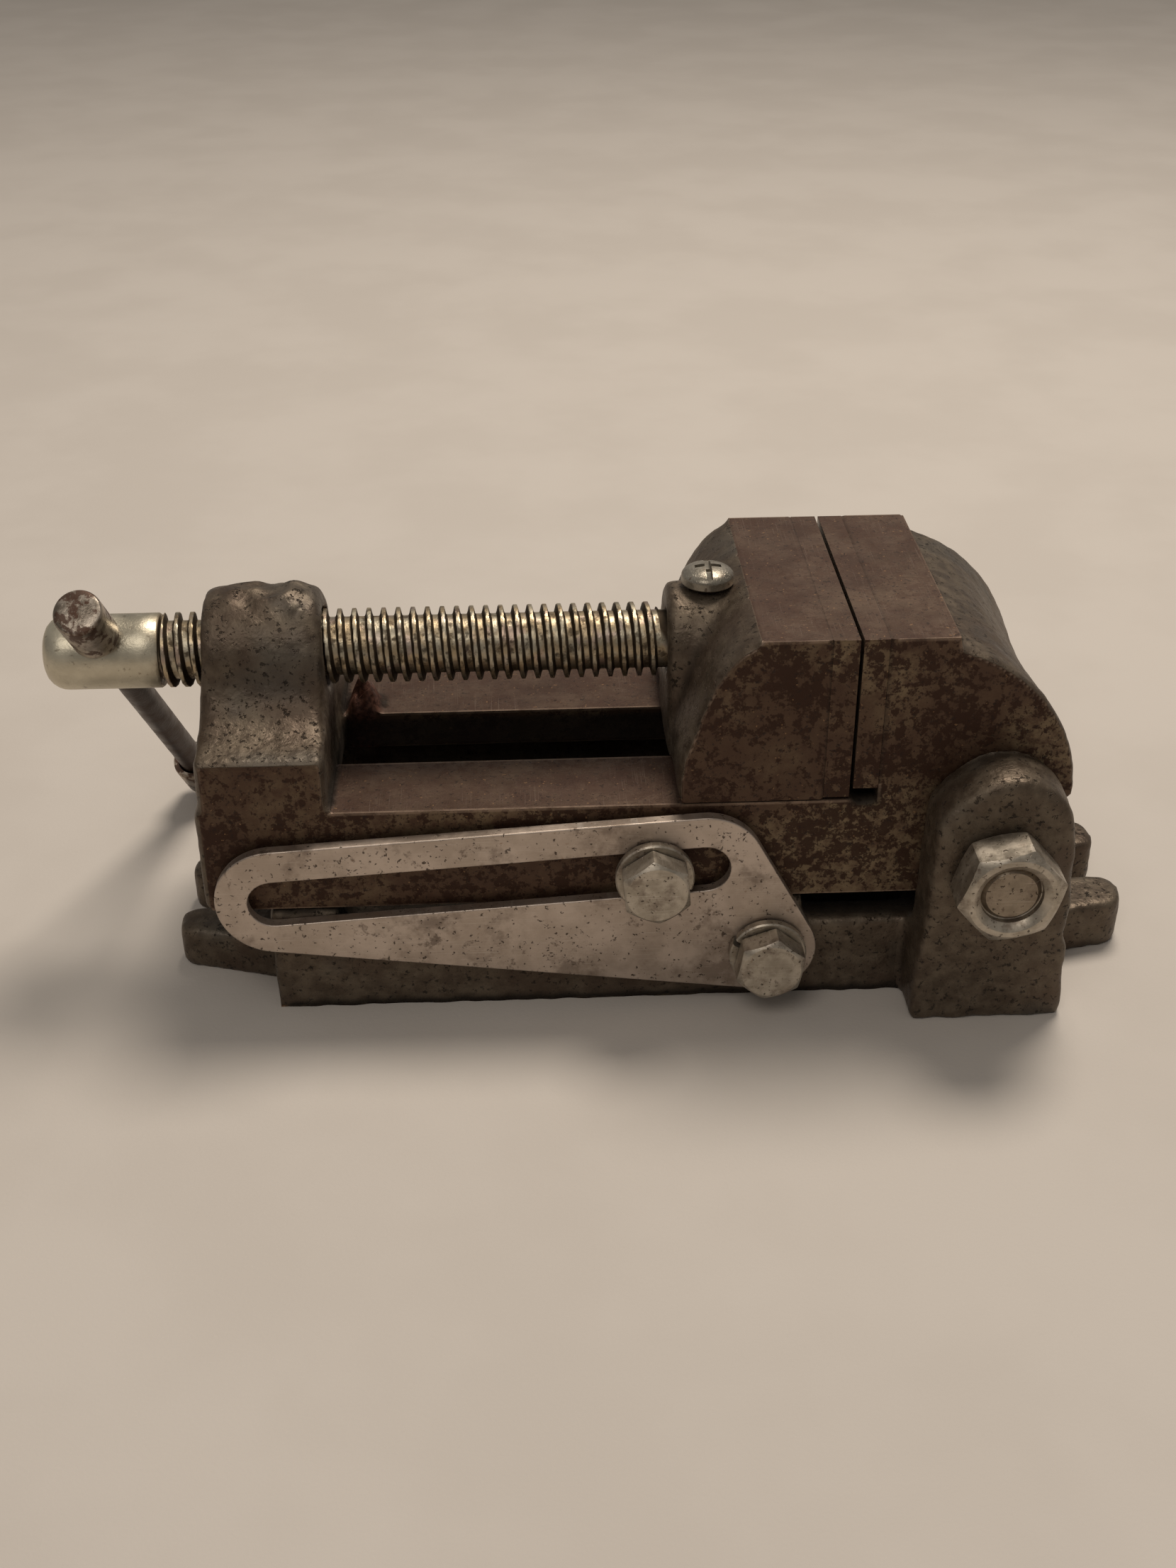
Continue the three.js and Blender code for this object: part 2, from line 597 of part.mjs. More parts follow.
addPiece('leadscrew', leadscrewSolid(), screwSteel);
addPiece('handle_bar', handleBar(), barSteel);
addPiece('handle_cap_near', handleCap(bar.near, barDirection), barSteel);
addPiece('handle_cap_far', handleCap(bar.far, barDirection.clone().negate()), barSteel);

addPiece('angle_link', angleLink(), zincPlate);
addPiece('slot_bolt', linkBolt(slotBolt.x, slotBolt.z, slotBolt.end, slotBolt.corner), zincPlate);
addPiece('slot_washer', splitWasher(slotBolt.x, slotBolt.z, slotBolt.split), zincPlate);

export default vise;
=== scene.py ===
"""The looks of a small tilting drill press vise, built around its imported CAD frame.

Everything is in metres, +Z up, in the CAD frame: X = 0 is where the closed jaws meet, Y = 0 is the
middle plane, Z = 0 is the surface that the base stands on. Sizes below are written in millimetres.
"""

import itertools
import math

import bmesh
import bpy
import numpy as np
from mathutils import Matrix, Vector, noise


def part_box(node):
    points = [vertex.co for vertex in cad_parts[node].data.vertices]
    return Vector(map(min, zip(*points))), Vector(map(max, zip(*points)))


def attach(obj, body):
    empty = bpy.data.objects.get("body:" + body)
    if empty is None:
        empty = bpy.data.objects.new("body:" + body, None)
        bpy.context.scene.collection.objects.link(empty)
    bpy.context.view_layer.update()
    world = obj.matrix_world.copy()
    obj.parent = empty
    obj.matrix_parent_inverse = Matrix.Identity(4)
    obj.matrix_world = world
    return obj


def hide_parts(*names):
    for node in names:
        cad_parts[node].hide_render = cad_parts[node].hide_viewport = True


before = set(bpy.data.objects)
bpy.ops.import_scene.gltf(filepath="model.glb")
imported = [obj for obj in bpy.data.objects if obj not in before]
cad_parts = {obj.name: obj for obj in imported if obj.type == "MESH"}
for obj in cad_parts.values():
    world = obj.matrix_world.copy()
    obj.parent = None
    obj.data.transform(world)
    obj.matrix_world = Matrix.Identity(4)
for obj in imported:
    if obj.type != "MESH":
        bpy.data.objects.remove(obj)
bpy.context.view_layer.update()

MM = 0.001
X_AXIS, Y_AXIS, Z_AXIS = Vector((1, 0, 0)), Vector((0, 1, 0)), Vector((0, 0, 1))

# Camera, millimetres and degrees
CAMERA_PLACE = (-66.53, -345.93, 244.15)
CAMERA_YAW, CAMERA_DOWN, CAMERA_ROLL = 2.541, 31.17, -0.215
CAMERA_LENS = 42.83

# Castings
FINE_VOXEL, COARSE_VOXEL = 0.7, 0.8
HALF_WIDTH, WALL_INSIDE = 30, 30.3
BED_TOP, JAW_TOP, BODY_BOTTOM = 47.5, 83.3, 25
JAW_LIFT, BED_SLOT_HALF, TONGUE_HALF = 0.3, 10.65, 10.35
FIXED_SEAT_X, MOVING_SEAT_X = 5.6, -5.4
BACK_NOTCH_X, BACK_NOTCH_BOTTOM = 19.2, 80.3
HINGE_HOLE, LINK_PIVOT_HOLE = 6.4, 4.3
UPRIGHT_RIGHT, UPRIGHT_SHOULDER, BODY_LEFT = -104.5, 59.5, -120
RUST_LUMP_X, RUST_LUMP_Y, RUST_LUMP_HEIGHT = -99.4, 14.6, 5
RUST_LUMP_LENGTH, RUST_LUMP_WIDTH = 2.9, 3.7

# Where grime and painted shade lie: under the bed, inside the base's tray, and on the base where the bed
# rests on it
HOLLOW_LEFT, HOLLOW_RIGHT, HOLLOW_HALF, HOLLOW_TOP = -123, 13, 20.5, 38.2
TRAY_LEFT, TRAY_RIGHT, TRAY_HALF = -116, 44, 29
REST_RIGHT, REST_FROM = -100, 24

# Leadscrew
SCREW_Z = 69.6
PITCH, CREST, ROOT = 3, 7.7, 6
HEAD_LEFT, HEAD_RIGHT, NECK_RIGHT = -162.2, -138.4, -14.6
THREAD_START, THREAD_RIGHT = -71.1, -36.4
GROOVE_X, GROOVE_HALF, GROOVE_RADIUS = -26.6, 2.8, 4.4

# Sliding handle bar
BAR_X, BAR_DROP, BAR_SKEW = -149.8, math.radians(48), math.radians(3.6)
BAR_RADIUS, BAR_HOLE, BAR_NEAR, BAR_FAR = 3.1, 3.7, -21.6, 87.6
CAP_RADIUS, CAP_LENGTH, CAP_SOCKET = 4.9, 13.7, 8

# Bolts and nut
HINGE_X, HINGE_Z = 29.1, 37.7
SLOT_BOLT_X, SLOT_BOLT_Z = -39.3, 33.5
LINK_PIVOT_X, LINK_PIVOT_Z = -15.6, 13.7
M8_RADIUS, M12_RADIUS = 4, 6
M8_FLATS, M12_FLATS, M12_HEAD = 13, 19, 8
WASHER_THICK, WASHER_GAP = 2, 1.2

# The hinge bolt and nut sit this far below the hinge's axis, the bolt's end this deep in the nut.
# The nut's face and the ears' outsides stand this much further out than in the CAD frame.
PIVOT_DROP, PIVOT_END_RECESS, NUT_PROUD, EAR_PROUD = 0.25, 1.65, 1.3, 1.6

# Sides of a round piece, where its function doesn't give another number
SIDES = 144


# ---- Meshes ----

def vec(x, y, z):
    """A point given in millimetres."""
    return Vector((x * MM, y * MM, z * MM))


def add_piece(name, mesh, material, body, slot, *nodes):
    """A new visible piece that rides on a body, and stands for the CAD nodes named last."""
    piece = bpy.data.objects.new(name, mesh)
    bpy.context.scene.collection.objects.link(piece)
    mesh.materials.clear()
    mesh.materials.append(material)
    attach(piece, body)
    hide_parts(*nodes)
    return piece


def shade(mesh, sharp=35):
    """Smooth shading, except across edges sharper than this many degrees."""
    mesh.shade_smooth()
    mesh.set_sharp_from_angle(angle=math.radians(sharp))
    return mesh


def with_modifier(mesh, kind, **settings):
    """The mesh after one modifier."""
    holder = bpy.data.objects.new("working", mesh)
    bpy.context.scene.collection.objects.link(holder)
    modifier = holder.modifiers.new("working", kind)
    for key, value in settings.items():
        setattr(modifier, key, value)
    graph = bpy.context.evaluated_depsgraph_get()
    result = bpy.data.meshes.new_from_object(holder.evaluated_get(graph))
    bpy.data.objects.remove(holder)
    return result


def cut(mesh, tool):
    """The mesh with another mesh's solid taken away."""
    holder = bpy.data.objects.new("tool", tool)
    bpy.context.scene.collection.objects.link(holder)
    result = with_modifier(mesh, "BOOLEAN", object=holder, operation="DIFFERENCE", solver="EXACT")
    bpy.data.objects.remove(holder)
    return result


def positions(mesh):
    """The vertices in millimetres, one row each."""
    points = np.zeros(len(mesh.vertices) * 3)
    mesh.vertices.foreach_get("co", points)
    return points.reshape(-1, 3) / MM


def set_positions(mesh, points):
    mesh.vertices.foreach_set("co", (points * MM).ravel())
    mesh.update()


def normals(mesh):
    values = np.zeros(len(mesh.vertices) * 3)
    mesh.vertex_normals.foreach_get("vector", values)
    return values.reshape(-1, 3)


def keep_values(mesh, name, values):
    """Stores one number a vertex under a name that a material can read."""
    mesh.attributes.new(name, "FLOAT", "POINT").data.foreach_set("value", values.astype(np.float32))


class Smoother:
    """Averages values over the neighbours of each vertex of a mesh."""

    def __init__(self, mesh):
        edges = np.zeros(len(mesh.edges) * 2, int)
        mesh.edges.foreach_get("vertices", edges)
        first, second = edges.reshape(-1, 2).T
        self.to = np.concatenate([first, second])
        self.source = np.concatenate([second, first])
        self.count = len(mesh.vertices)
        self.neighbours = np.maximum(np.bincount(self.to, minlength=self.count), 1)

    def mean(self, values):
        if values.ndim == 1:
            return np.bincount(self.to, values[self.source], self.count) / self.neighbours
        return np.stack([self.mean(column) for column in values.T], axis=1)

    def blurred(self, values, times):
        for _ in range(times):
            values = 0.5 * values + 0.5 * self.mean(values)
        return values


def lumps(points, size, seed):
    """Smooth noise from -1 to 1 at each point, with lumps about this many millimetres across."""
    shift = Vector((seed * 17.3, seed * 5.1, seed * 9.7))
    return np.array([noise.noise(Vector(p) / size + shift) for p in points])


def smooth_step(values, low, high):
    t = np.clip((values - low) / (high - low), 0, 1)
    return t * t * (3 - 2 * t)


def ring_mesh(name, rings, closed=False):
    """A closed mesh through rings of points in metres, with flat ends or joined end to end."""
    count, last = len(rings[0]), len(rings)
    points = np.concatenate(rings)
    faces = []
    for r in range(last if closed else last - 1):
        low, high = r * count, (r + 1) % last * count
        for i in range(count):
            j = (i + 1) % count
            faces.append((low + i, low + j, high + j, high + i))
    if not closed:
        faces.append(tuple(reversed(range(count))))
        faces.append(tuple(range((last - 1) * count, last * count)))
    mesh = bpy.data.meshes.new(name)
    mesh.from_pydata(points.tolist(), [], faces)
    mesh.validate()
    return mesh


def along(origin, direction, turn=0):
    """The matrix that puts a piece made along +Z at a point, pointing in a direction."""
    turned = Matrix.Rotation(math.radians(turn), 4, "Z")
    return Matrix.Translation(origin) @ direction.to_track_quat("Z", "Y").to_matrix().to_4x4() @ turned


def round_ring(radius, height, sides=SIDES):
    """A ring round +Z, in metres. Radius and height are millimetres, one number or one a side."""
    angles = np.arange(sides) * 2 * math.pi / sides
    x, y = radius * np.cos(angles), radius * np.sin(angles)
    return np.stack([x, y, np.zeros(sides) + height], axis=1) * MM


def lathe(name, profile, sides=SIDES, closed=False):
    """A round piece along +Z from (radius, height) pairs."""
    rings = [round_ring(radius, height, sides) for radius, height in profile]
    return ring_mesh(name, rings, closed)


def hexagon_radius(flats):
    """The radius of a hexagon with slightly rounded corners at each of the SIDES angles."""
    angles = np.arange(SIDES) * 2 * math.pi / SIDES
    sharpness = 70
    total = np.zeros(SIDES)
    for face in range(6):
        total += np.maximum(np.cos(angles - face * math.pi / 3), 0) ** sharpness
    return flats / 2 * total ** (-1 / sharpness)


def hexagon_rings(flats, height, both_ends=False):
    """The outside of a hexagonal head from its bearing face up, chamfered in a cone at the top."""
    radius = hexagon_radius(flats)
    circle = flats * 0.462
    fall = (radius - circle) * math.tan(math.radians(30))
    rings = [round_ring(circle, 0), round_ring(radius, fall + 0.05)] if both_ends else [
        round_ring(radius - 0.25, 0), round_ring(radius, 0.25)]
    rings += [round_ring(radius, height - fall - 0.12), round_ring(radius - 0.1, height - fall)]
    rings += [round_ring(circle + 0.1, height - 0.04), round_ring(circle - 0.25, height)]
    return rings


def hexagon_bolt(name, flats, height, shank, length):
    """A hexagon head with its shank, from the shank's tip up."""
    rings = [round_ring(shank - 0.9, -length), round_ring(shank, -length + 0.9), round_ring(shank, -0.3)]
    rings += [round_ring(shank + 0.3, 0)] + hexagon_rings(flats, height)
    rings += [round_ring(flats * 0.40, height - 0.12), round_ring(flats * 0.38, height - 0.14)]
    return ring_mesh(name, rings)


def hexagon_nut(name, flats, height, bore):
    rings = hexagon_rings(flats, height, both_ends=True)
    rings += [round_ring(bore + 1.35, height), round_ring(bore + 1.2, height - 0.08)]
    rings += [round_ring(bore, height - 1.1), round_ring(bore - 0.15, height - 1.3)]
    rings += [round_ring(bore - 0.2, height - 2.4), round_ring(bore - 0.5, height - 2.6)]
    rings += [round_ring(bore - 0.5, 1), round_ring(bore + 0.7, 0)]
    return ring_mesh(name, rings, closed=True)


def split_washer(name, inner, outer, thick, gap):
    """A spring washer: a ring with a slanted gap, its two ends sprung a little apart."""
    corner = 0.3
    section = [(inner + corner, 0), (outer - corner, 0), (outer, corner), (outer, thick - corner),
               (outer - corner, thick), (inner + corner, thick), (inner, thick - corner), (inner, corner)]
    steps = 120
    rings = []
    for step in range(steps + 1):
        share = step / steps
        ring = []
        for radius, height in section:
            slant = gap / radius * (0.5 + (height / thick - 0.5) * 0.8)
            angle = slant + share * (2 * math.pi - gap / radius)
            spring = 0.12 * (share - 0.5)
            ring.append((radius * math.cos(angle), radius * math.sin(angle), height + spring))
        rings.append(np.array(ring)[::-1] * MM)
    return ring_mesh(name, rings)


def softened(name, node, width, segments=2, sharp=28, moves=()):
    """A copy of a CAD node with its sharp edges rounded by this many millimetres.

    Each move takes the vertices on a plane X = first to X = second, both in millimetres. The top
    edge on the last move's plane is where the piece meets a casting, and stays sharp."""
    mesh = bpy.data.meshes.new(name)
    build = bmesh.new()
    build.from_mesh(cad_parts[node].data)
    bmesh.ops.remove_doubles(build, verts=build.verts, dist=0.002 * MM)
    bmesh.ops.dissolve_limit(build, angle_limit=math.radians(0.5), verts=build.verts, edges=build.edges)
    on_plane = lambda vertex, x: abs(vertex.co.x / MM - x) < 0.02
    for first, second in moves:
        for vertex in build.verts:
            if on_plane(vertex, first):
                vertex.co.x = second * MM
    edges = [e for e in build.edges if e.is_manifold and e.calc_face_angle(0) > math.radians(sharp)]
    top = max(v.co.z for v in build.verts) - 0.01 * MM
    for _, seat in moves[1:]:
        edges = [e for e in edges if not all(on_plane(v, seat) and v.co.z > top for v in e.verts)]
    bmesh.ops.bevel(build, geom=edges, offset=width * MM, segments=segments, profile=0.5, affect="EDGES",
                    clamp_overlap=True)
    build.to_mesh(mesh)
    build.free()
    return with_modifier(shade(mesh, 40), "WEIGHTED_NORMAL", keep_sharp=True)


# ---- Castings ----

class Casting:
    """A casting made from its CAD node: crisp and flat where machined, soft and lumpy where as cast."""

    def __init__(self, node, voxel):
        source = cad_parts[node].data.copy()
        self.mesh = with_modifier(source, "REMESH", mode="VOXEL", voxel_size=voxel * MM, adaptivity=0)
        self.voxel = voxel
        self.points = positions(self.mesh)
        self.smoother = Smoother(self.mesh)
        self.flat = np.zeros(len(self.points), bool)
        self.locked = np.zeros(self.points.shape, bool)
        self.planes = []

    def machine(self, axis, value, inside=None):
        """Marks the vertices on a plane as machined and puts them exactly on it."""
        facing = np.abs(normals(self.mesh)[:, axis]) > 0.9
        near = np.abs(self.points[:, axis] - value) < 0.3 * self.voxel
        chosen = near & facing
        if inside is not None:
            chosen &= inside(*self.points.T)
        self.points[chosen, axis] = value
        self.locked[chosen, axis] = True
        self.flat |= chosen
        self.planes.append((axis, value))

    def bore(self, axis, centre, radius):
        """Marks the wall of a round hole as machined."""
        across = [i for i in range(3) if i != axis]
        distance = np.hypot(*(self.points[:, across] - np.array(centre)).T)
        self.hold(distance < radius + 0.4)

    def hold(self, chosen):
        """Marks vertices as machined and keeps them where they are."""
        self.locked[chosen] = True
        self.flat |= chosen

    def crispen(self):
        """Brings the vertices beside an edge of two machined planes onto that edge."""
        reach = 0.62 * self.voxel
        for first, second in itertools.combinations(self.planes, 2):
            close = [np.abs(self.points[:, axis] - value) < reach for axis, value in (first, second)]
            near = np.all(close, axis=0)
            for axis, value in (first, second):
                self.points[near, axis] = value
                self.locked[near, axis] = True
            self.flat |= near

    def soften(self, times):
        """Rounds what is as cast and leaves what is machined."""
        cast = self.smoother.blurred((~self.flat).astype(float), 4)
        self.cast = smooth_step(cast, 0.45, 1) * ~self.flat
        border = np.where(cast > 0.04, 0.5, 0)
        for turn in range(max(times, 10)):
            weight = np.maximum(0.6 * self.cast if turn < times else 0, border)
            step = self.smoother.mean(self.points) - self.points
            self.points += np.where(self.locked, 0, weight[:, None] * step)
        set_positions(self.mesh, self.points)

    def roughen(self, coarse, fine, seed):
        """The uneven skin that sand leaves on the cast surfaces."""
        height = coarse * lumps(self.points, 7, seed) + fine * lumps(self.points, 2.2, seed + 1)
        self.points += normals(self.mesh) * (height * self.cast)[:, None]
        set_positions(self.mesh, self.points)

    def round_more(self, region, times):
        """Rounds the cast surface further in one region."""
        weight = self.cast * smooth_step(self.smoother.blurred(region.astype(float), 4), 0.3, 1)
        for _ in range(times):
            step = self.smoother.mean(self.points) - self.points
            self.points += np.where(self.locked, 0, 0.6 * weight[:, None] * step)
        set_positions(self.mesh, self.points)

    def finish(self, dirty_or_shaded, seam, aged):
        """Stores how cast, convex and aged each vertex is, for the material, and how dark it gets from
        grimy patches and painted shade: in the places given and in concave creases.

        Seam is 1 beside a joint with another piece, which stays clean, and 2 for the dark line in it."""
        lift = self.points - self.smoother.mean(self.points)
        convex = np.einsum("ij,ij->i", lift, normals(self.mesh)) / self.voxel
        convex = np.where(self.locked.any(axis=1), convex, self.smoother.blurred(convex, 4))
        # Concave creases get painted shade, as if light reached them less.
        hollow = smooth_step(-self.smoother.blurred(convex, 8), 0.01, 0.06)
        dirt_and_shade_spread = np.maximum(self.smoother.blurred(dirty_or_shaded.astype(float), 2), hollow)
        dirt_and_shade = np.where(seam > 0, 0.5 * (seam > 1), dirt_and_shade_spread)
        keep_values(self.mesh, "cast", np.clip(self.smoother.blurred((~self.flat).astype(float), 1), 0, 1))
        keep_values(self.mesh, "convex", np.where(seam > 0, 0, convex))
        keep_values(self.mesh, "dirt_and_shade", dirt_and_shade)
        keep_values(self.mesh, "aged", aged)
        return shade(self.mesh, 50)


def machine_body(body):
    """Marks the vise body's machined faces, bores and the notch behind the fixed jaw."""
    below_upright = lambda x, y, z: (x > UPRIGHT_RIGHT + 1) | (z < UPRIGHT_SHOULDER - 0.3)
    for side in (-1, 1):
        body.machine(1, side * HALF_WIDTH, below_upright)
        body.machine(1, side * BED_SLOT_HALF, lambda x, y, z: z > HOLLOW_TOP - 0.2)
    body.machine(2, BED_TOP)
    body.machine(2, JAW_TOP)
    body.machine(2, BODY_BOTTOM)
    body.machine(0, FIXED_SEAT_X)
    body.bore(1, (HINGE_X, HINGE_Z), HINGE_HOLE)
    x, y, z = body.points.T
    body.hold((np.hypot(y, z - SCREW_Z) < 9) & (x < UPRIGHT_RIGHT + 2))
    notch = (np.abs(x - BACK_NOTCH_X - 0.2) < 0.6) & (z > BACK_NOTCH_BOTTOM)
    body.points[notch, 0] = BACK_NOTCH_X + 0.15 * (JAW_TOP - z[notch])
    body.hold(notch)
    body.crispen()


def shape_body_ends(body):
    """Pushes the upright's end face out a little, and hollows the fixed jaw's back."""
    x, y, z = body.points.T
    at_end = (x < BODY_LEFT) & ~body.flat
    body.points[:, 0] -= np.where(at_end, 0.7 + 0.5 * smooth_step(z, 58, 64), 0)
    hollow = 2.2 * smooth_step(z, 50, 62) * (1 - smooth_step(z, 66, 80.6))
    hollow *= np.clip(1 - (y / 29) ** 2, 0, 1)
    body.points[:, 0] -= np.where((x > 19) & ~body.flat, hollow, 0)


def raise_rust_lump(body):
    """Raises the lump of rust on the far rail, and returns its height at each vertex."""
    x, y, z = body.points.T
    along_x, across = (x - RUST_LUMP_X) / RUST_LUMP_LENGTH, (y - RUST_LUMP_Y) / RUST_LUMP_WIDTH
    lump = RUST_LUMP_HEIGHT * np.exp(-(along_x ** 4 + across ** 4))
    lump *= 1 + 0.7 * lumps(body.points, 1.7, 12)
    on_rail = (np.abs(z - BED_TOP) < 0.5) & (lump > 0.1)
    body.points[:, 2] += np.where(on_rail, lump, 0)
    body.locked[on_rail] = False
    set_positions(body.mesh, body.points)
    return lump


def round_boss(body):
    """Rounds the boss for the leadscrew, and puts the bumps on its top."""
    x, _, z = body.points.T
    boss = (x < UPRIGHT_RIGHT + 1) & (z > 60)
    body.round_more(boss, 26)
    top = smooth_step(z, 76, 81) * boss * smooth_step(x, -128, -122) * smooth_step(-x, 106, 110)
    bumps = np.maximum(lumps(body.points * np.array([1, 1, 0]), 4.2, 3) + 0.15, 0) * 2.2
    body.points[:, 2] += top * bumps
    body.round_more(boss, 4)


def vise_body():
    """The tilting body: bed, upright for the leadscrew, fixed jaw and hinge knuckle."""
    body = Casting("vise_body", FINE_VOXEL)
    machine_body(body)
    shape_body_ends(body)
    lump = raise_rust_lump(body)
    body.soften(6)
    round_boss(body)
    body.roughen(0.16, 0.1, 1)
    x, y, z = body.points.T
    # Darkened with painted shade and grime: the groove under the fixed plate, the hollow under the bed and
    # the slot through it.
    groove = (x > 0) & (x < FIXED_SEAT_X + 0.2) & (z > 46) & (z < 50.2)
    inside = (np.abs(y) < HOLLOW_HALF) & (z < HOLLOW_TOP) & (x > HOLLOW_LEFT) & (x < HOLLOW_RIGHT)
    slot = (np.abs(y) < BED_SLOT_HALF + 0.15) & (z < BED_TOP - 1) & (x > UPRIGHT_RIGHT + 0.3) & (x < 0.2)
    from_plate = np.where(z > 51, np.abs(x - FIXED_SEAT_X), np.inf)
    seam = (from_plate < 0.9).astype(int) + (from_plate < 0.2)
    mesh = body.finish(groove | inside | slot, seam, smooth_step(-x, 70, 100))
    keep_values(mesh, "lump", np.clip(lump, 0, 1))
    return mesh


def moving_jaw():
    """The sliding jaw: a block with a boss behind it for the end of the leadscrew."""
    jaw = Casting("moving_jaw", FINE_VOXEL)
    for side in (-1, 1):
        jaw.machine(1, side * HALF_WIDTH)
        jaw.machine(1, side * TONGUE_HALF)
    jaw.machine(2, JAW_TOP)
    jaw.machine(2, BED_TOP + JAW_LIFT)
    jaw.machine(0, MOVING_SEAT_X)
    x, y, z = jaw.points.T
    jaw.hold((np.hypot(y, z - SCREW_Z) < 8.5) & (x > -34.9))
    jaw.hold(np.hypot(x - GROOVE_X, y) < 3.4)
    jaw.crispen()
    jaw.soften(20)
    jaw.roughen(0.14, 0.08, 5)
    x, y, z = jaw.points.T
    from_plate = np.where(z > 48.5, np.abs(x - MOVING_SEAT_X), np.inf)
    at_bottom = (z > 47) & (z < 48.9)
    seam = ((from_plate < 0.9) | at_bottom).astype(int) + (from_plate < 0.2)
    # Below the bed's top the jaw is darkened with painted shade and grime.
    return jaw.finish(z < 47, seam, np.full(len(x), 0.9))


def shape_ears(base):
    """Rounds the ears and moves their outsides a little, with more of a lean from the foot up."""
    x, y, z = base.points.T
    base.round_more((np.abs(y) > 36) & (z > 24), 18)
    low = 1 - smooth_step(z, 10, 24)
    right = smooth_step(x, 36, 41) * np.interp(z, (3, 12, 20, 28, 46, 56), (0.5, -0.3, -0.2, 1.3, 1.3, 0))
    left = 0.7 * smooth_step(-x, -19, -15.4) * low
    base.points[:, 0] += np.where((np.abs(y) > 31) & (x < 46) & ~base.flat, right - left, 0)
    outer = smooth_step(np.abs(y), 33, 40) * ~base.flat
    base.points[:, 1] += np.sign(y) * outer * np.interp(z, (8, 26), (0.5, EAR_PROUD))
    base.points[:, 2] -= 0.5 * smooth_step(z, 46, 56) * (np.abs(y) > 31)


def base_casting():
    """The base: two walls with ears for the hinge, and a slotted lug at each end."""
    base = Casting("base_casting", COARSE_VOXEL)
    base.machine(2, 0)
    for side in (-1, 1):
        base.machine(1, side * WALL_INSIDE)
    base.bore(1, (HINGE_X, HINGE_Z), HINGE_HOLE)
    base.bore(1, (LINK_PIVOT_X, LINK_PIVOT_Z), LINK_PIVOT_HOLE)
    base.crispen()
    base.soften(7)
    shape_ears(base)
    base.roughen(0.2, 0.12, 8)
    x, y, z = base.points.T
    foot = (1 - smooth_step(z, 0, 4)) * (np.abs(y) > TRAY_HALF)
    foot *= 0.4 * lumps(base.points * np.array([1, 1, 0]), 3.5, 9)
    base.points[:, 1] += np.sign(y) * foot
    set_positions(base.mesh, base.points)
    # The tray gets grime and painted shade; where the bed rests, under the body, painted shade.
    tray = (np.abs(y) < TRAY_HALF) & (x > TRAY_LEFT) & (x < TRAY_RIGHT) & (z > 0.5)
    rest_in_shade = (z > REST_FROM) & (x < REST_RIGHT)
    return base.finish(tray | rest_in_shade, np.zeros(len(x)), np.zeros(len(x)))


# ---- Screws and bar ----

def from_crest(x, angle):
    """How far along X a place is from the middle of the thread's crest."""
    phase = np.mod((x - THREAD_START) / PITCH - angle / (2 * math.pi), 1)
    return np.abs(phase - 0.5) * PITCH


def thread_radius(x, angle):
    """The leadscrew's radius at a place along it: flat crests and roots with sloping flanks."""
    tall = 1 - np.clip((from_crest(x, angle) - 0.42) / 0.4, 0, 1)
    starts = smooth_step(x, HEAD_RIGHT, HEAD_RIGHT + 0.8)
    ends = smooth_step(x, THREAD_RIGHT - 0.5, THREAD_RIGHT)
    return ROOT + (CREST - ROOT) * tall * starts * (1 - ends)


def leadscrew():
    """The leadscrew along +X, with its head, thread and grooved neck."""
    sides = 96
    angles = np.arange(sides) * 2 * math.pi / sides
    profile = [(3.2, 0.05), (4.6, 0.3), (5.7, 0.8), (6.6, 1.6), (7.25, 2.6), (7.6, 3.6), (CREST, 4.8)]
    rings = [round_ring(radius, height, sides) for radius, height in profile]
    end = HEAD_RIGHT - HEAD_LEFT
    rings += [round_ring(CREST, height, sides) for height in (8, 12, 16, 20, end - 0.5)]
    rings += [round_ring(CREST - 0.35, end, sides), round_ring(ROOT, end + 0.05, sides)]
    steps = round((THREAD_RIGHT - HEAD_RIGHT) / PITCH * 15)
    for x in np.linspace(HEAD_RIGHT + 0.2, THREAD_RIGHT, steps):
        rings.append(round_ring(thread_radius(x, angles), x - HEAD_LEFT, sides))
    groove = GROOVE_X - HEAD_LEFT
    rings += [round_ring(ROOT, groove - GROOVE_HALF, sides)]
    rings += [round_ring(GROOVE_RADIUS, groove + h, sides) for h in (0.1 - GROOVE_HALF, GROOVE_HALF - 0.1)]
    rings += [round_ring(ROOT, groove + GROOVE_HALF, sides)]
    neck = NECK_RIGHT - HEAD_LEFT
    rings += [round_ring(ROOT, neck - 0.7, sides), round_ring(ROOT - 0.7, neck, sides)]
    mesh = ring_mesh("leadscrew_fine", rings)
    place = along(vec(HEAD_LEFT, 0, SCREW_Z), X_AXIS)
    mesh.transform(place)
    hole = lathe("hole", [(BAR_HOLE, -15), (BAR_HOLE, 15)], 48)
    hole.transform(along(vec(BAR_X, 0, SCREW_Z), bar_direction()))
    mesh = cut(mesh, hole)
    points = positions(mesh)
    turned = (points - np.array([0, 0, SCREW_Z])) @ np.array(place.to_3x3())
    depth = from_crest(points[:, 0], np.arctan2(turned[:, 1], turned[:, 0])) / (PITCH / 2)
    keep_values(mesh, "depth", depth)
    keep_values(mesh, "threaded", smooth_step(points[:, 0], HEAD_RIGHT - 1, HEAD_RIGHT + 0.5))
    return shade(mesh, 42)


def bar_direction():
    """The way the handle bar points, from its near end to its far end."""
    flat = math.cos(BAR_SKEW)
    return Vector((math.sin(BAR_SKEW), flat * math.cos(BAR_DROP), -flat * math.sin(BAR_DROP)))


def bar_point(distance):
    return vec(BAR_X, 0, SCREW_Z) + bar_direction() * distance * MM


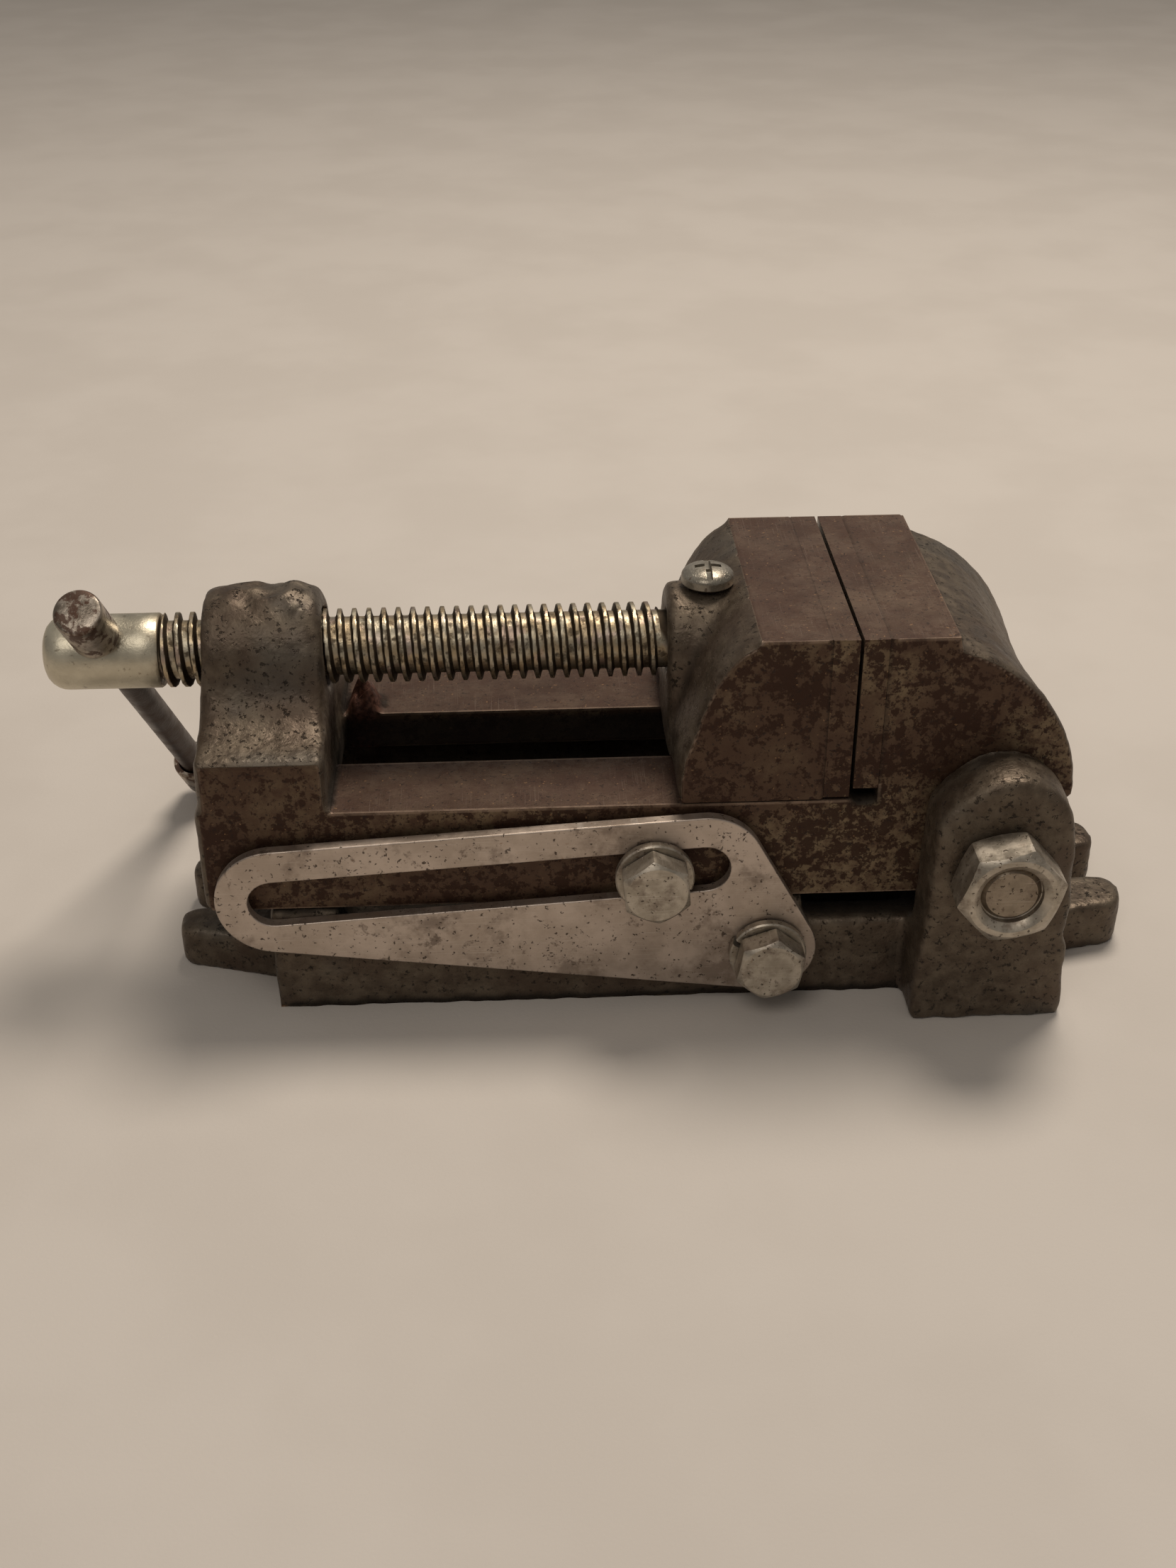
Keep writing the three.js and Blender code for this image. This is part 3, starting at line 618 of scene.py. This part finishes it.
def handle_bar():
    """The bar between the sockets of its caps, very slightly wavy along its length."""
    start = BAR_NEAR + CAP_LENGTH - CAP_SOCKET + 0.3
    length = BAR_FAR - CAP_LENGTH + CAP_SOCKET - 0.3 - start
    profile = [(BAR_RADIUS - 0.3, 0), (BAR_RADIUS, 0.3)]
    for height in np.linspace(2, length - 2, 40):
        profile.append((BAR_RADIUS - 0.03 * math.sin(height * 0.9) ** 2, height))
    profile += [(BAR_RADIUS, length - 0.3), (BAR_RADIUS - 0.3, length)]
    mesh = lathe("handle_bar_fine", profile, 48)
    mesh.transform(along(bar_point(start), bar_direction()))
    return shade(mesh)


def handle_cap(name, distance, inward):
    """A turned cap from its outer face to the socket that the bar goes into."""
    r, socket = CAP_RADIUS, BAR_RADIUS + 0.25
    profile = [(r - 1.6, 0.03), (r - 0.75, 0.1), (r - 0.3, 0.3), (r - 0.06, 0.7), (r, 1.1), (r, 6)]
    profile += [(r, CAP_LENGTH - 1.3), (r - 0.15, CAP_LENGTH - 0.5), (r - 0.6, CAP_LENGTH)]
    profile += [(socket + 0.2, CAP_LENGTH), (socket, CAP_LENGTH - 0.2), (socket, CAP_LENGTH - CAP_SOCKET)]
    profile += [(0.4, CAP_LENGTH - CAP_SOCKET)]
    mesh = lathe(name, profile, 72)
    mesh.transform(along(bar_point(distance), inward))
    return shade(mesh)


def block_mesh(name, size, centre):
    """A plain block used only as a cutting tool."""
    mesh = bpy.data.meshes.new(name)
    build = bmesh.new()
    scale = Matrix.Diagonal((*size, 1))
    bmesh.ops.create_cube(build, size=1, matrix=Matrix.Translation(centre) @ scale)
    build.to_mesh(mesh)
    build.free()
    return mesh


def retainer():
    """The pan head screw over the leadscrew's groove, with a slot and a cross in its head."""
    tip, under, rim, top = 74.3, 82.2, 83.7, 86
    shank, head = 2.2, 5.4
    profile = [(shank - 0.9, 0), (shank, 0.7), (shank, under - tip)]
    profile += [(head - 0.3, under - tip), (head, under - tip + 0.3), (head, rim - tip)]
    for share in np.linspace(0.08, 1, 12):
        turn = share * math.pi / 2
        profile.append((head * math.cos(turn) + 0.01, rim - tip + (top - rim) * math.sin(turn)))
    mesh = lathe("screw_retainer_fine", profile, 72)
    mesh.transform(along(vec(GROOVE_X, 0, tip), Z_AXIS, 20))
    centre = vec(GROOVE_X, 0, top)
    mesh = cut(mesh, block_mesh("slot", vec(1.25, 12, 2.6), centre))
    mesh = cut(mesh, block_mesh("cross", vec(5.4, 1.3, 4), centre))
    return shade(mesh, 30)


# ---- Materials ----

# Colours of the iron, in linear light
DEEP_PATINA = (0.060, 0.030, 0.017)
BROWN_PATINA = (0.092, 0.053, 0.031)
THIN_PATINA = (0.175, 0.125, 0.074)
AGED_PATINA = (0.050, 0.022, 0.011)
DARK_RUST = (0.034, 0.012, 0.005)
GROUND_DARK = (0.062, 0.030, 0.018)
GROUND_PALE = (0.108, 0.067, 0.045)
GROUND_RUST = (0.052, 0.024, 0.016)
BRUSH_MARK = (0.058, 0.032, 0.022)
BLACK_SPECK = (0.020, 0.010, 0.007)
TAN_SPECK = (0.26, 0.15, 0.075)
IRON_SCRATCH = (0.20, 0.15, 0.12)
WORN_EDGE = (0.32, 0.23, 0.17)
CAST_DARK = (0.088, 0.064, 0.044)
CAST_PALE = (0.142, 0.110, 0.078)
CAST_BROWN = (0.082, 0.054, 0.037)
CAST_BLUE = (0.105, 0.113, 0.108)
CAST_PIT = (0.018, 0.012, 0.008)
# Pale painted highlight for convex cast grains and edges
CAST_EDGE_HIGHLIGHT = (0.22, 0.20, 0.165)
LUMP_DARK = (0.050, 0.018, 0.011)
LUMP_PALE = (0.150, 0.066, 0.044)
# Grimy darkening mixed with painted shade
IRON_GRIME_AND_SHADE = (0.013, 0.009, 0.006)

# Colours of the zinc and the steel
ZINC_SMUDGE = (0.17, 0.125, 0.095)
ZINC_STAIN = (0.10, 0.070, 0.052)
ZINC_PIT = (0.045, 0.030, 0.020)
ZINC_RUST = (0.20, 0.11, 0.06)
ZINC_SCRATCH = (0.66, 0.60, 0.54)
SCREW_DULL = (0.50, 0.455, 0.355)
SCREW_PALE = (0.62, 0.57, 0.45)
THREAD_BROWN = (0.26, 0.21, 0.14)
THREAD_GOLD = (0.42, 0.31, 0.18)
THREAD_VIOLET = (0.44, 0.31, 0.31)
# Grimy spots and painted shade in the thread's flanks
THREAD_GRIME_AND_SHADE = (0.040, 0.026, 0.016)
SCREW_BAND = (0.16, 0.12, 0.08)
BAR_DARK = (0.020, 0.008, 0.004)
BAR_PALE = (0.040, 0.020, 0.011)
BAR_SPOT = (0.035, 0.02, 0.013)
CAP_DARK = (0.20, 0.165, 0.13)
CAP_PALE = (0.46, 0.40, 0.335)
CAP_RUST = (0.070, 0.030, 0.018)
STEEL_RUST = (0.07, 0.035, 0.02)
FLOOR_DARK = (0.545, 0.50, 0.455)
FLOOR_PALE = (0.575, 0.53, 0.485)


class Look:
    """A material of procedural nodes round one Principled shader, in the object's own coordinates."""

    def __init__(self, name):
        self.material = bpy.data.materials.new(name)
        self.material.use_nodes = True
        self.tree = self.material.node_tree
        self.shader = self.tree.nodes["Principled BSDF"]
        self.place = self.add("ShaderNodeTexCoord").outputs["Object"]

    def add(self, kind, **settings):
        node = self.tree.nodes.new(kind)
        for key, value in settings.items():
            setattr(node, key, value)
        return node

    def put(self, socket, value):
        """Links an output, or sets a plain value."""
        if isinstance(value, bpy.types.NodeSocket):
            self.tree.links.new(value, socket)
        elif isinstance(value, tuple) and len(value) == 3 and socket.type == "RGBA":
            socket.default_value = (*value, 1)
        else:
            socket.default_value = value

    def noise(self, size, detail=3.0, seed=0, stretch=(1, 1, 1), roughness=0.55):
        """Noise in lumps of this many millimetres, longer along the axes with a larger stretch."""
        mapping = self.add("ShaderNodeMapping")
        self.put(mapping.inputs["Vector"], self.place)
        self.put(mapping.inputs["Location"], (seed * 3.7, seed * 1.3, seed * 2.9))
        self.put(mapping.inputs["Scale"], tuple(1 / (size * MM * s) for s in stretch))
        node = self.add("ShaderNodeTexNoise")
        self.put(node.inputs["Vector"], mapping.outputs["Vector"])
        self.put(node.inputs["Scale"], 1.0)
        self.put(node.inputs["Detail"], detail)
        self.put(node.inputs["Roughness"], roughness)
        return node.outputs["Fac"]

    def value(self, name):
        """A number stored at the mesh's vertices."""
        return self.add("ShaderNodeAttribute", attribute_name=name).outputs["Fac"]

    def span(self, value, low, high, to_low=0.0, to_high=1.0):
        """The value taken smoothly from one span to another, and kept inside it."""
        node = self.add("ShaderNodeMapRange", interpolation_type="SMOOTHSTEP")
        self.put(node.inputs["Value"], value)
        for key, number in (("From Min", low), ("From Max", high), ("To Min", to_low), ("To Max", to_high)):
            self.put(node.inputs[key], number)
        return node.outputs["Result"]

    def patches(self, low, high, size, detail, seed, **settings):
        """Noise cut into patches: 0 where it is below low, 1 where it is above high."""
        return self.span(self.noise(size, detail, seed, **settings), low, high)

    def maths(self, operation, first, second):
        node = self.add("ShaderNodeMath", operation=operation)
        self.put(node.inputs[0], first)
        self.put(node.inputs[1], second)
        return node.outputs[0]

    def times(self, first, second):
        return self.maths("MULTIPLY", first, second)

    def plus(self, first, second):
        return self.maths("ADD", first, second)

    def blend(self, share, first, second):
        """The first colour where share is 0, the second where it is 1."""
        node = self.add("ShaderNodeMix", data_type="RGBA")
        self.put(node.inputs[0], share)
        self.put(node.inputs[6], first)
        self.put(node.inputs[7], second)
        return node.outputs[2]

    def over(self, base, colour, share, most):
        """A colour laid over a base where share is 1, and covering it by no more than most."""
        return self.blend(self.times(share, most), base, colour)

    def blend_value(self, share, first, second):
        node = self.add("ShaderNodeMix", data_type="FLOAT")
        self.put(node.inputs[0], share)
        self.put(node.inputs[2], first)
        self.put(node.inputs[3], second)
        return node.outputs[0]

    def part_of_normal(self, axis):
        """One part of the surface's direction in the object's own axes."""
        split = self.add("ShaderNodeSeparateXYZ")
        self.put(split.inputs[0], self.add("ShaderNodeTexCoord").outputs["Normal"])
        return split.outputs[axis]

    def finish(self, colour, roughness, height, depth, metallic):
        """Sets the colour, roughness and metallic share, and a bump of this many millimetres."""
        bump = self.add("ShaderNodeBump")
        self.put(bump.inputs["Height"], height)
        self.put(bump.inputs["Distance"], depth * MM)
        self.put(bump.inputs["Strength"], 1.0)
        self.put(self.shader.inputs["Normal"], bump.outputs["Normal"])
        self.put(self.shader.inputs["Base Color"], colour)
        self.put(self.shader.inputs["Roughness"], roughness)
        self.put(self.shader.inputs["Metallic"], metallic)
        return self.material


def machined_colour(look, tone, rust, upward):
    """Red brown patina, grey tan where it is thin, with rust in blotches and brushed tops."""
    aged = look.value("aged")
    colour = look.blend(look.span(tone, 0.35, 0.66), DEEP_PATINA, BROWN_PATINA)
    wide = look.patches(0.44, 0.58, 30, 2, 2)
    thin = look.times(wide, look.patches(0.34, 0.62, 3.4, 7, 3, roughness=0.66))
    colour = look.over(colour, THIN_PATINA, thin, look.span(aged, 0, 1, 1, 0.6))
    colour = look.over(colour, AGED_PATINA, aged, 0.3)
    colour = look.over(colour, DARK_RUST, rust, look.span(upward, 0, 1, 0.9, 0.25))

    ground = look.blend(look.patches(0.36, 0.62, 9, 7, 6, roughness=0.65), GROUND_DARK, GROUND_PALE)
    ground = look.over(ground, GROUND_RUST, rust, 0.45)
    ground = look.over(ground, BRUSH_MARK, look.patches(0.42, 0.62, 0.5, 4, 28, stretch=(8, 1, 8)), 0.3)
    colour = look.over(colour, ground, upward, 0.85)

    colour = look.over(colour, BLACK_SPECK, look.patches(0.61, 0.67, 0.8, 3, 7), 0.75)
    colour = look.over(colour, TAN_SPECK, look.patches(0.72, 0.76, 0.8, 1, 8), 0.7)
    scratch = look.times(look.patches(0.60, 0.72, 0.15, 2, 9, stretch=(1, 90, 90)), upward)
    scratch = look.times(scratch, look.patches(0.42, 0.6, 14, 2, 10))
    colour = look.over(colour, IRON_SCRATCH, scratch, 0.45)
    edge = look.span(look.value("convex"), 0.10, 0.30)
    worn = look.times(edge, look.span(look.noise(4, 3, 11), 0.3, 0.6, 0.3, 1))
    return look.over(colour, WORN_EDGE, worn, 0.5)


def cast_colour(look, coarse, pits):
    """Dark grey brown skin with browner and bluer areas, black pits and a pale painted highlight on convex
    grains and edges.
    """
    colour = look.blend(look.span(coarse, 0.35, 0.68), CAST_DARK, CAST_PALE)
    colour = look.over(colour, CAST_BROWN, look.patches(0.45, 0.65, 15, 3, 14), 0.65)
    colour = look.over(colour, CAST_BLUE, look.patches(0.55, 0.7, 22, 2, 15), 0.25)
    colour = look.over(colour, CAST_PIT, pits, 0.75)
    # A painted highlight on convex grains and edges.
    edge_highlight = look.times(look.span(look.value("convex"), 0.05, 0.16), look.patches(0.35, 0.6, 1.6, 3, 16))
    return look.over(colour, CAST_EDGE_HIGHLIGHT, edge_highlight, 0.2)


def iron_look(name):
    """Iron: brown patina with rust blotches where machined, dark pebbled skin where as cast."""
    look = Look(name)
    cast = look.span(look.value("cast"), 0.35, 0.75)
    upward = look.span(look.part_of_normal("Z"), 0.7, 0.95)
    tone = look.noise(7, 5, 1, roughness=0.6)
    coarse = look.noise(3.2, 4, 13)
    pits = look.patches(0.57, 0.67, 1.3, 5, 12, roughness=0.7)
    crowd = look.times(look.patches(0.35, 0.7, 19, 2, 5), 0.12)
    rust = look.span(look.plus(look.noise(1.7, 8, 4, roughness=0.68), crowd), 0.535, 0.605)
    # Grimy patches and painted shade in recesses, creases and under other parts, broken up by noise
    grime_and_shade = look.times(look.value("dirt_and_shade"), look.span(look.noise(1.8, 4, 17), 0.2, 0.5, 0.75, 1))

    colour = look.blend(cast, machined_colour(look, tone, rust, upward), cast_colour(look, coarse, pits))
    scale = look.blend(look.patches(0.38, 0.62, 1.1, 4, 21), LUMP_DARK, LUMP_PALE)
    colour = look.blend(look.value("lump"), colour, scale)
    colour = look.over(colour, IRON_GRIME_AND_SHADE, grime_and_shade, 0.82)

    rough = look.plus(look.span(tone, 0.3, 0.7, 0.40, 0.52), look.times(rust, 0.15))
    rough = look.blend_value(cast, rough, look.span(coarse, 0.3, 0.7, 0.40, 0.54))
    roughness = look.plus(rough, look.times(grime_and_shade, 0.3))
    fine = look.plus(look.times(look.noise(0.5, 3, 18), 0.12), look.times(rust, 0.08))
    grain = look.plus(look.times(look.noise(1.1, 3, 19), 0.45), look.times(look.noise(2.6, 3, 20), 0.8))
    pebbles = look.plus(look.times(pits, -0.7), grain)
    height = look.blend_value(cast, fine, pebbles)
    return look.finish(colour, roughness, height, 0.30, metallic=look.blend_value(cast, 0.55, 0.6))


def zinc_look(name, size, pale, dull):
    """Dull zinc plate with dark pits, smudges and a little rust."""
    look = Look(name)
    tone = look.noise(size, 5, 21, roughness=0.6)
    smudge = look.noise(size * 1.4, 6, 22, roughness=0.68)
    pit = look.patches(0.63, 0.68, 0.9, 4, 23)
    colour = look.blend(look.span(tone, 0.35, 0.68), dull, pale)
    colour = look.over(colour, ZINC_SMUDGE, look.span(smudge, 0.50, 0.66), 0.6)
    stain = look.patches(0.60, 0.67, size * 0.5, 6, 27, roughness=0.68)
    colour = look.over(colour, ZINC_STAIN, stain, 0.65)
    colour = look.over(colour, ZINC_PIT, pit, 0.85)
    colour = look.over(colour, ZINC_RUST, look.patches(0.68, 0.74, 2.2, 4, 24), 0.5)
    colour = look.over(colour, ZINC_SCRATCH, look.patches(0.62, 0.7, 0.14, 2, 25, stretch=(60, 60, 1)), 0.3)
    dulled = look.times(look.span(smudge, 0.5, 0.7), 0.15)
    roughness = look.plus(look.span(tone, 0.3, 0.7, 0.34, 0.48), dulled)
    height = look.plus(look.times(pit, -0.6), look.times(look.noise(0.7, 3, 26), 0.35))
    return look.finish(colour, roughness, height, 0.06, metallic=0.85)


def leadscrew_look():
    """Golden, faintly iridescent zinc in the thread, with dark grimy spots and painted shade along its
    flanks.
    """
    look = Look("leadscrew_zinc")
    depth, threaded = look.value("depth"), look.value("threaded")
    tone = look.noise(5, 4, 31)
    colour = look.blend(look.span(tone, 0.35, 0.65), SCREW_DULL, SCREW_PALE)
    colour = look.over(colour, THREAD_BROWN, threaded, 0.35)
    gold = look.times(look.patches(0.38, 0.6, 4, 3, 32), threaded)
    colour = look.over(colour, THREAD_GOLD, gold, 0.7)
    violet = look.times(look.patches(0.54, 0.66, 5, 2, 33), threaded)
    colour = look.over(colour, THREAD_VIOLET, violet, 0.4)
    # Painted shade along the thread's flanks, with grimy spots as well.
    flank_grime_and_shade = look.times(look.span(depth, 0.24, 0.32), look.span(depth, 0.76, 0.58))
    spots = look.patches(0.48, 0.64, 2.4, 5, 34, roughness=0.6)
    grime_and_shade = look.maths("MAXIMUM", look.times(flank_grime_and_shade, 0.95), look.times(spots, 0.75))
    grime_and_shade = look.times(grime_and_shade, threaded)
    colour = look.blend(grime_and_shade, colour, THREAD_GRIME_AND_SHADE)
    colour = look.over(colour, SCREW_BAND, look.patches(0.60, 0.68, 1.6, 5, 35, roughness=0.65), 0.55)
    roughness = look.plus(look.span(tone, 0.3, 0.7, 0.33, 0.44), look.times(grime_and_shade, 0.3))
    height = look.plus(look.noise(0.5, 3, 36), look.times(grime_and_shade, 0.5))
    return look.finish(colour, roughness, height, 0.05, metallic=0.9)


def bar_look():
    """The handle bar's brown steel, with small greyer spots."""
    look = Look("bar_steel")
    tone = look.noise(4, 4, 41)
    colour = look.blend(look.span(tone, 0.35, 0.65), BAR_DARK, BAR_PALE)
    colour = look.over(colour, BAR_SPOT, look.patches(0.62, 0.7, 1.2, 3, 42), 0.6)
    roughness = look.span(tone, 0.3, 0.7, 0.32, 0.5)
    return look.finish(colour, roughness, look.noise(0.6, 3, 43), 0.05, metallic=0.8)


def cap_look():
    """The caps' grey steel, with rust brown blotches."""
    look = Look("cap_steel")
    tone = look.noise(3, 4, 51)
    blotch = look.patches(0.48, 0.56, 3.4, 5, 52, roughness=0.65)
    colour = look.blend(look.span(tone, 0.35, 0.65), CAP_DARK, CAP_PALE)
    colour = look.over(colour, CAP_RUST, blotch, 0.85)
    roughness = look.plus(look.span(tone, 0.3, 0.7, 0.28, 0.42), look.times(blotch, 0.2))
    return look.finish(colour, roughness, look.noise(0.6, 3, 53), 0.06, metallic=0.85)


def steel_look(name, pale, dark, rusty, metallic=0.85):
    """Ground steel with fine marks and small rust specks."""
    look = Look(name)
    tone = look.noise(6, 5, 61, roughness=0.6)
    speck = look.patches(0.6, 0.68, 1.1, 4, 62)
    line = look.patches(0.58, 0.7, 0.2, 2, 63, stretch=(1, 40, 1))
    colour = look.blend(look.span(tone, 0.35, 0.65), dark, pale)
    colour = look.over(colour, STEEL_RUST, speck, rusty)
    colour = look.over(colour, tuple(min(1, c * 1.7) for c in pale), line, 0.25)
    roughness = look.plus(look.span(tone, 0.3, 0.7, 0.3, 0.45), look.times(speck, 0.2))
    height = look.plus(look.times(line, 0.3), look.noise(0.6, 3, 64))
    return look.finish(colour, roughness, height, 0.05, metallic)


def floor_look():
    """The pale matte floor."""
    look = Look("pale_floor")
    tone = look.noise(60, 4, 71)
    colour = look.blend(look.span(tone, 0.35, 0.65), FLOOR_DARK, FLOOR_PALE)
    roughness = look.span(tone, 0.3, 0.7, 0.8, 0.9)
    return look.finish(colour, roughness, look.noise(0.8, 3, 72), 0.05, metallic=0.0)


# ---- The vise ----

def add_castings(patina):
    """The vise body and the sliding jaw, with machined faces, and the base as cast."""
    rough = iron_look("cast_iron_look")
    add_piece("vise_body_fine", vise_body(), patina, "tilt_body", "machined_iron", "vise_body")
    add_piece("moving_jaw_fine", moving_jaw(), patina, "moving_jaw", "machined_iron", "moving_jaw")
    add_piece("base_fine", base_casting(), rough, "base", "cast_iron", "base_casting")


def add_jaw_plates(patina):
    """The jaw plates, the keeper and their screws. A plate is bare steel where it grips."""
    steel = steel_look("jaw_plate_look", (0.20, 0.155, 0.115), (0.115, 0.080, 0.056), 0.8)
    black = steel_look("black_screw_look", (0.075, 0.065, 0.06), (0.04, 0.034, 0.03), 0.5)
    for name, body, moves in (
        ("fixed_jaw_plate", "tilt_body", [(0.3, 0.5), (5.3, 5.59)]),
        ("moving_jaw_plate", "moving_jaw", [(0, -0.15), (-5.1, -5.39)]),
    ):
        mesh = softened(name, name, 0.1, moves=moves)
        add_piece(name + "_fine", mesh, steel, body, "jaw_plate_steel", name)
        mesh.materials.append(patina)
        for face in mesh.polygons:
            face.material_index = 0 if abs(face.normal.x) > 0.7 else 1
    keeper = softened("keeper", "keeper_plate", 0.4)
    add_piece("keeper_fine", keeper, steel, "moving_jaw", "jaw_plate_steel", "keeper_plate")
    screws = [("fixed_plate_screw_near", "tilt_body"), ("fixed_plate_screw_far", "tilt_body"),
              ("moving_plate_screw_near", "moving_jaw"), ("moving_plate_screw_far", "moving_jaw"),
              ("keeper_screw_1", "moving_jaw"), ("keeper_screw_2", "moving_jaw")]
    for name, body in screws:
        add_piece(name + "_fine", softened(name, name, 0.2), black, body, "black_screws", name)


def add_screw_and_handle():
    """The leadscrew with its retaining screw, and the handle bar with a cap at each end."""
    add_piece("leadscrew_fine", leadscrew(), leadscrew_look(), "leadscrew", "leadscrew_steel", "leadscrew")
    bright = steel_look("bright_screw_look", (0.36, 0.33, 0.28), (0.23, 0.205, 0.165), 0.6, 0.9)
    add_piece("screw_retainer_fine", retainer(), bright, "moving_jaw", "bright_screw", "screw_retainer")
    add_piece("handle_bar_fine", handle_bar(), bar_look(), "handle_bar", "handle_steel", "handle_bar")
    ends = (("handle_cap_near", BAR_NEAR, bar_direction()), ("handle_cap_far", BAR_FAR, -bar_direction()))
    caps = cap_look()
    for name, distance, inward in ends:
        mesh = handle_cap(name + "_fine", distance, inward)
        add_piece(name + "_fine", mesh, caps, "handle_bar", "handle_steel", name)


def add_link_and_bolts(hardware):
    """The slotted link with the two bolts and spring washers that hold it."""
    link = zinc_look("link_zinc", 9, (0.56, 0.47, 0.40), (0.40, 0.33, 0.275))
    mesh = softened("angle_link", "angle_link", 0.35, 3)
    add_piece("angle_link_fine", mesh, link, "angle_link", "link_steel", "angle_link")
    washer_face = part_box("angle_link")[0].y / MM - WASHER_THICK - 0.3
    for bolt, washer, body, x, z, corner, split in (
        ("slot_bolt", "slot_washer", "slot_bolt", SLOT_BOLT_X, SLOT_BOLT_Z, 95, -28),
        ("link_pivot_bolt", "link_pivot_washer", "base", LINK_PIVOT_X, LINK_PIVOT_Z, 80, 150),
    ):
        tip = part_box(bolt)[1].y / MM
        under = washer_face - 0.3
        mesh = hexagon_bolt(bolt, M8_FLATS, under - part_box(bolt)[0].y / MM, M8_RADIUS, tip - under)
        mesh.transform(along(vec(x, under, z), -Y_AXIS, corner - 90))
        add_piece(bolt + "_fine", shade(mesh, 25), hardware, body, "zinc_hardware", bolt)
        ring = split_washer(washer, M8_RADIUS + 0.4, 8, WASHER_THICK, WASHER_GAP)
        ring.transform(along(vec(x, washer_face + WASHER_THICK, z), -Y_AXIS, split))
        add_piece(washer + "_fine", shade(ring), hardware, body, "zinc_hardware", washer)


def add_hinge_bolt(hardware, dull):
    """The hinge's nut on the near side, and its bolt with the head on the far side."""
    low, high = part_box("pivot_nut")
    z = HINGE_Z - PIVOT_DROP
    bearing, face = high.y / MM - EAR_PROUD, low.y / MM - NUT_PROUD
    nut = hexagon_nut("pivot_nut", M12_FLATS, bearing - face, HINGE_HOLE)
    nut.transform(along(vec(HINGE_X, bearing, z), -Y_AXIS, -18))
    add_piece("pivot_nut_fine", shade(nut, 25), hardware, "base", "zinc_hardware", "pivot_nut")
    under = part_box("pivot_bolt")[1].y / MM - M12_HEAD + EAR_PROUD
    shank = under - face - PIVOT_END_RECESS
    bolt = hexagon_bolt("pivot_bolt", M12_FLATS, M12_HEAD, M12_RADIUS, shank)
    bolt.transform(along(vec(HINGE_X, under, z), Y_AXIS, 30))
    add_piece("pivot_bolt_fine", shade(bolt, 25), dull, "base", "zinc_hardware", "pivot_bolt")


# ---- Floor, light and camera ----

def add_floor():
    mesh = bpy.data.meshes.new("floor")
    half = 6
    corners = [(-half, -half, 0), (half, -half, 0), (half, half, 0), (-half, half, 0)]
    mesh.from_pydata(corners, [], [(0, 1, 2, 3)])
    mesh.materials.append(floor_look())
    floor = bpy.data.objects.new("floor", mesh)
    bpy.context.scene.collection.objects.link(floor)


def add_light(name, place, aim, size, power, colour):
    data = bpy.data.lights.new(name, "AREA")
    data.shape = "DISK"
    data.size = size
    data.energy = power
    data.color = colour
    light = bpy.data.objects.new(name, data)
    light.location = place
    light.rotation_euler = (Vector(aim) - Vector(place)).to_track_quat("-Z", "Y").to_euler()
    bpy.context.scene.collection.objects.link(light)


def add_lights():
    """A warm lamp above and behind, a softer one in front, and a dim even surround."""
    middle = (-0.04, 0, 0.04)
    add_light("key", (0.20, 0.40, 1.15), middle, 0.5, 11, (1, 0.90, 0.78))
    add_light("fill", (-0.35, -0.78, 1.1), middle, 0.6, 3, (1, 0.93, 0.85))
    world = bpy.data.worlds.new("studio")
    world.use_nodes = True
    background = world.node_tree.nodes["Background"]
    background.inputs["Color"].default_value = (0.95, 0.90, 0.84, 1)
    background.inputs["Strength"].default_value = 0.24
    bpy.context.scene.world = world
    bpy.context.scene.view_settings.view_transform = "Standard"


def add_camera():
    """The camera at the place and angle that the vise is seen from."""
    yaw, down, roll = (math.radians(a) for a in (CAMERA_YAW, CAMERA_DOWN, CAMERA_ROLL))
    forward = Vector((math.sin(yaw) * math.cos(down), math.cos(yaw) * math.cos(down), -math.sin(down)))
    level = Vector((math.cos(yaw), -math.sin(yaw), 0))
    above = level.cross(forward)
    right = level * math.cos(roll) + above * math.sin(roll)
    up = above * math.cos(roll) - level * math.sin(roll)
    camera = bpy.data.objects.new("camera", bpy.data.cameras.new("camera"))
    camera.data.lens = CAMERA_LENS
    camera.data.clip_start = 0.01
    turned = Matrix((right, up, -forward)).transposed().to_4x4()
    camera.matrix_world = Matrix.Translation(vec(*CAMERA_PLACE)) @ turned
    bpy.context.scene.collection.objects.link(camera)
    bpy.context.scene.camera = camera


machined_iron = iron_look("machined_iron_look")
add_castings(machined_iron)
add_jaw_plates(machined_iron)
add_screw_and_handle()
hardware_zinc = zinc_look("hardware_zinc", 3.5, (0.50, 0.445, 0.37), (0.33, 0.29, 0.235))
dull_zinc = zinc_look("dull_zinc", 3.5, (0.31, 0.255, 0.195), (0.22, 0.18, 0.135))
add_link_and_bolts(hardware_zinc)
add_hinge_bolt(hardware_zinc, dull_zinc)
add_floor()
add_lights()
add_camera()
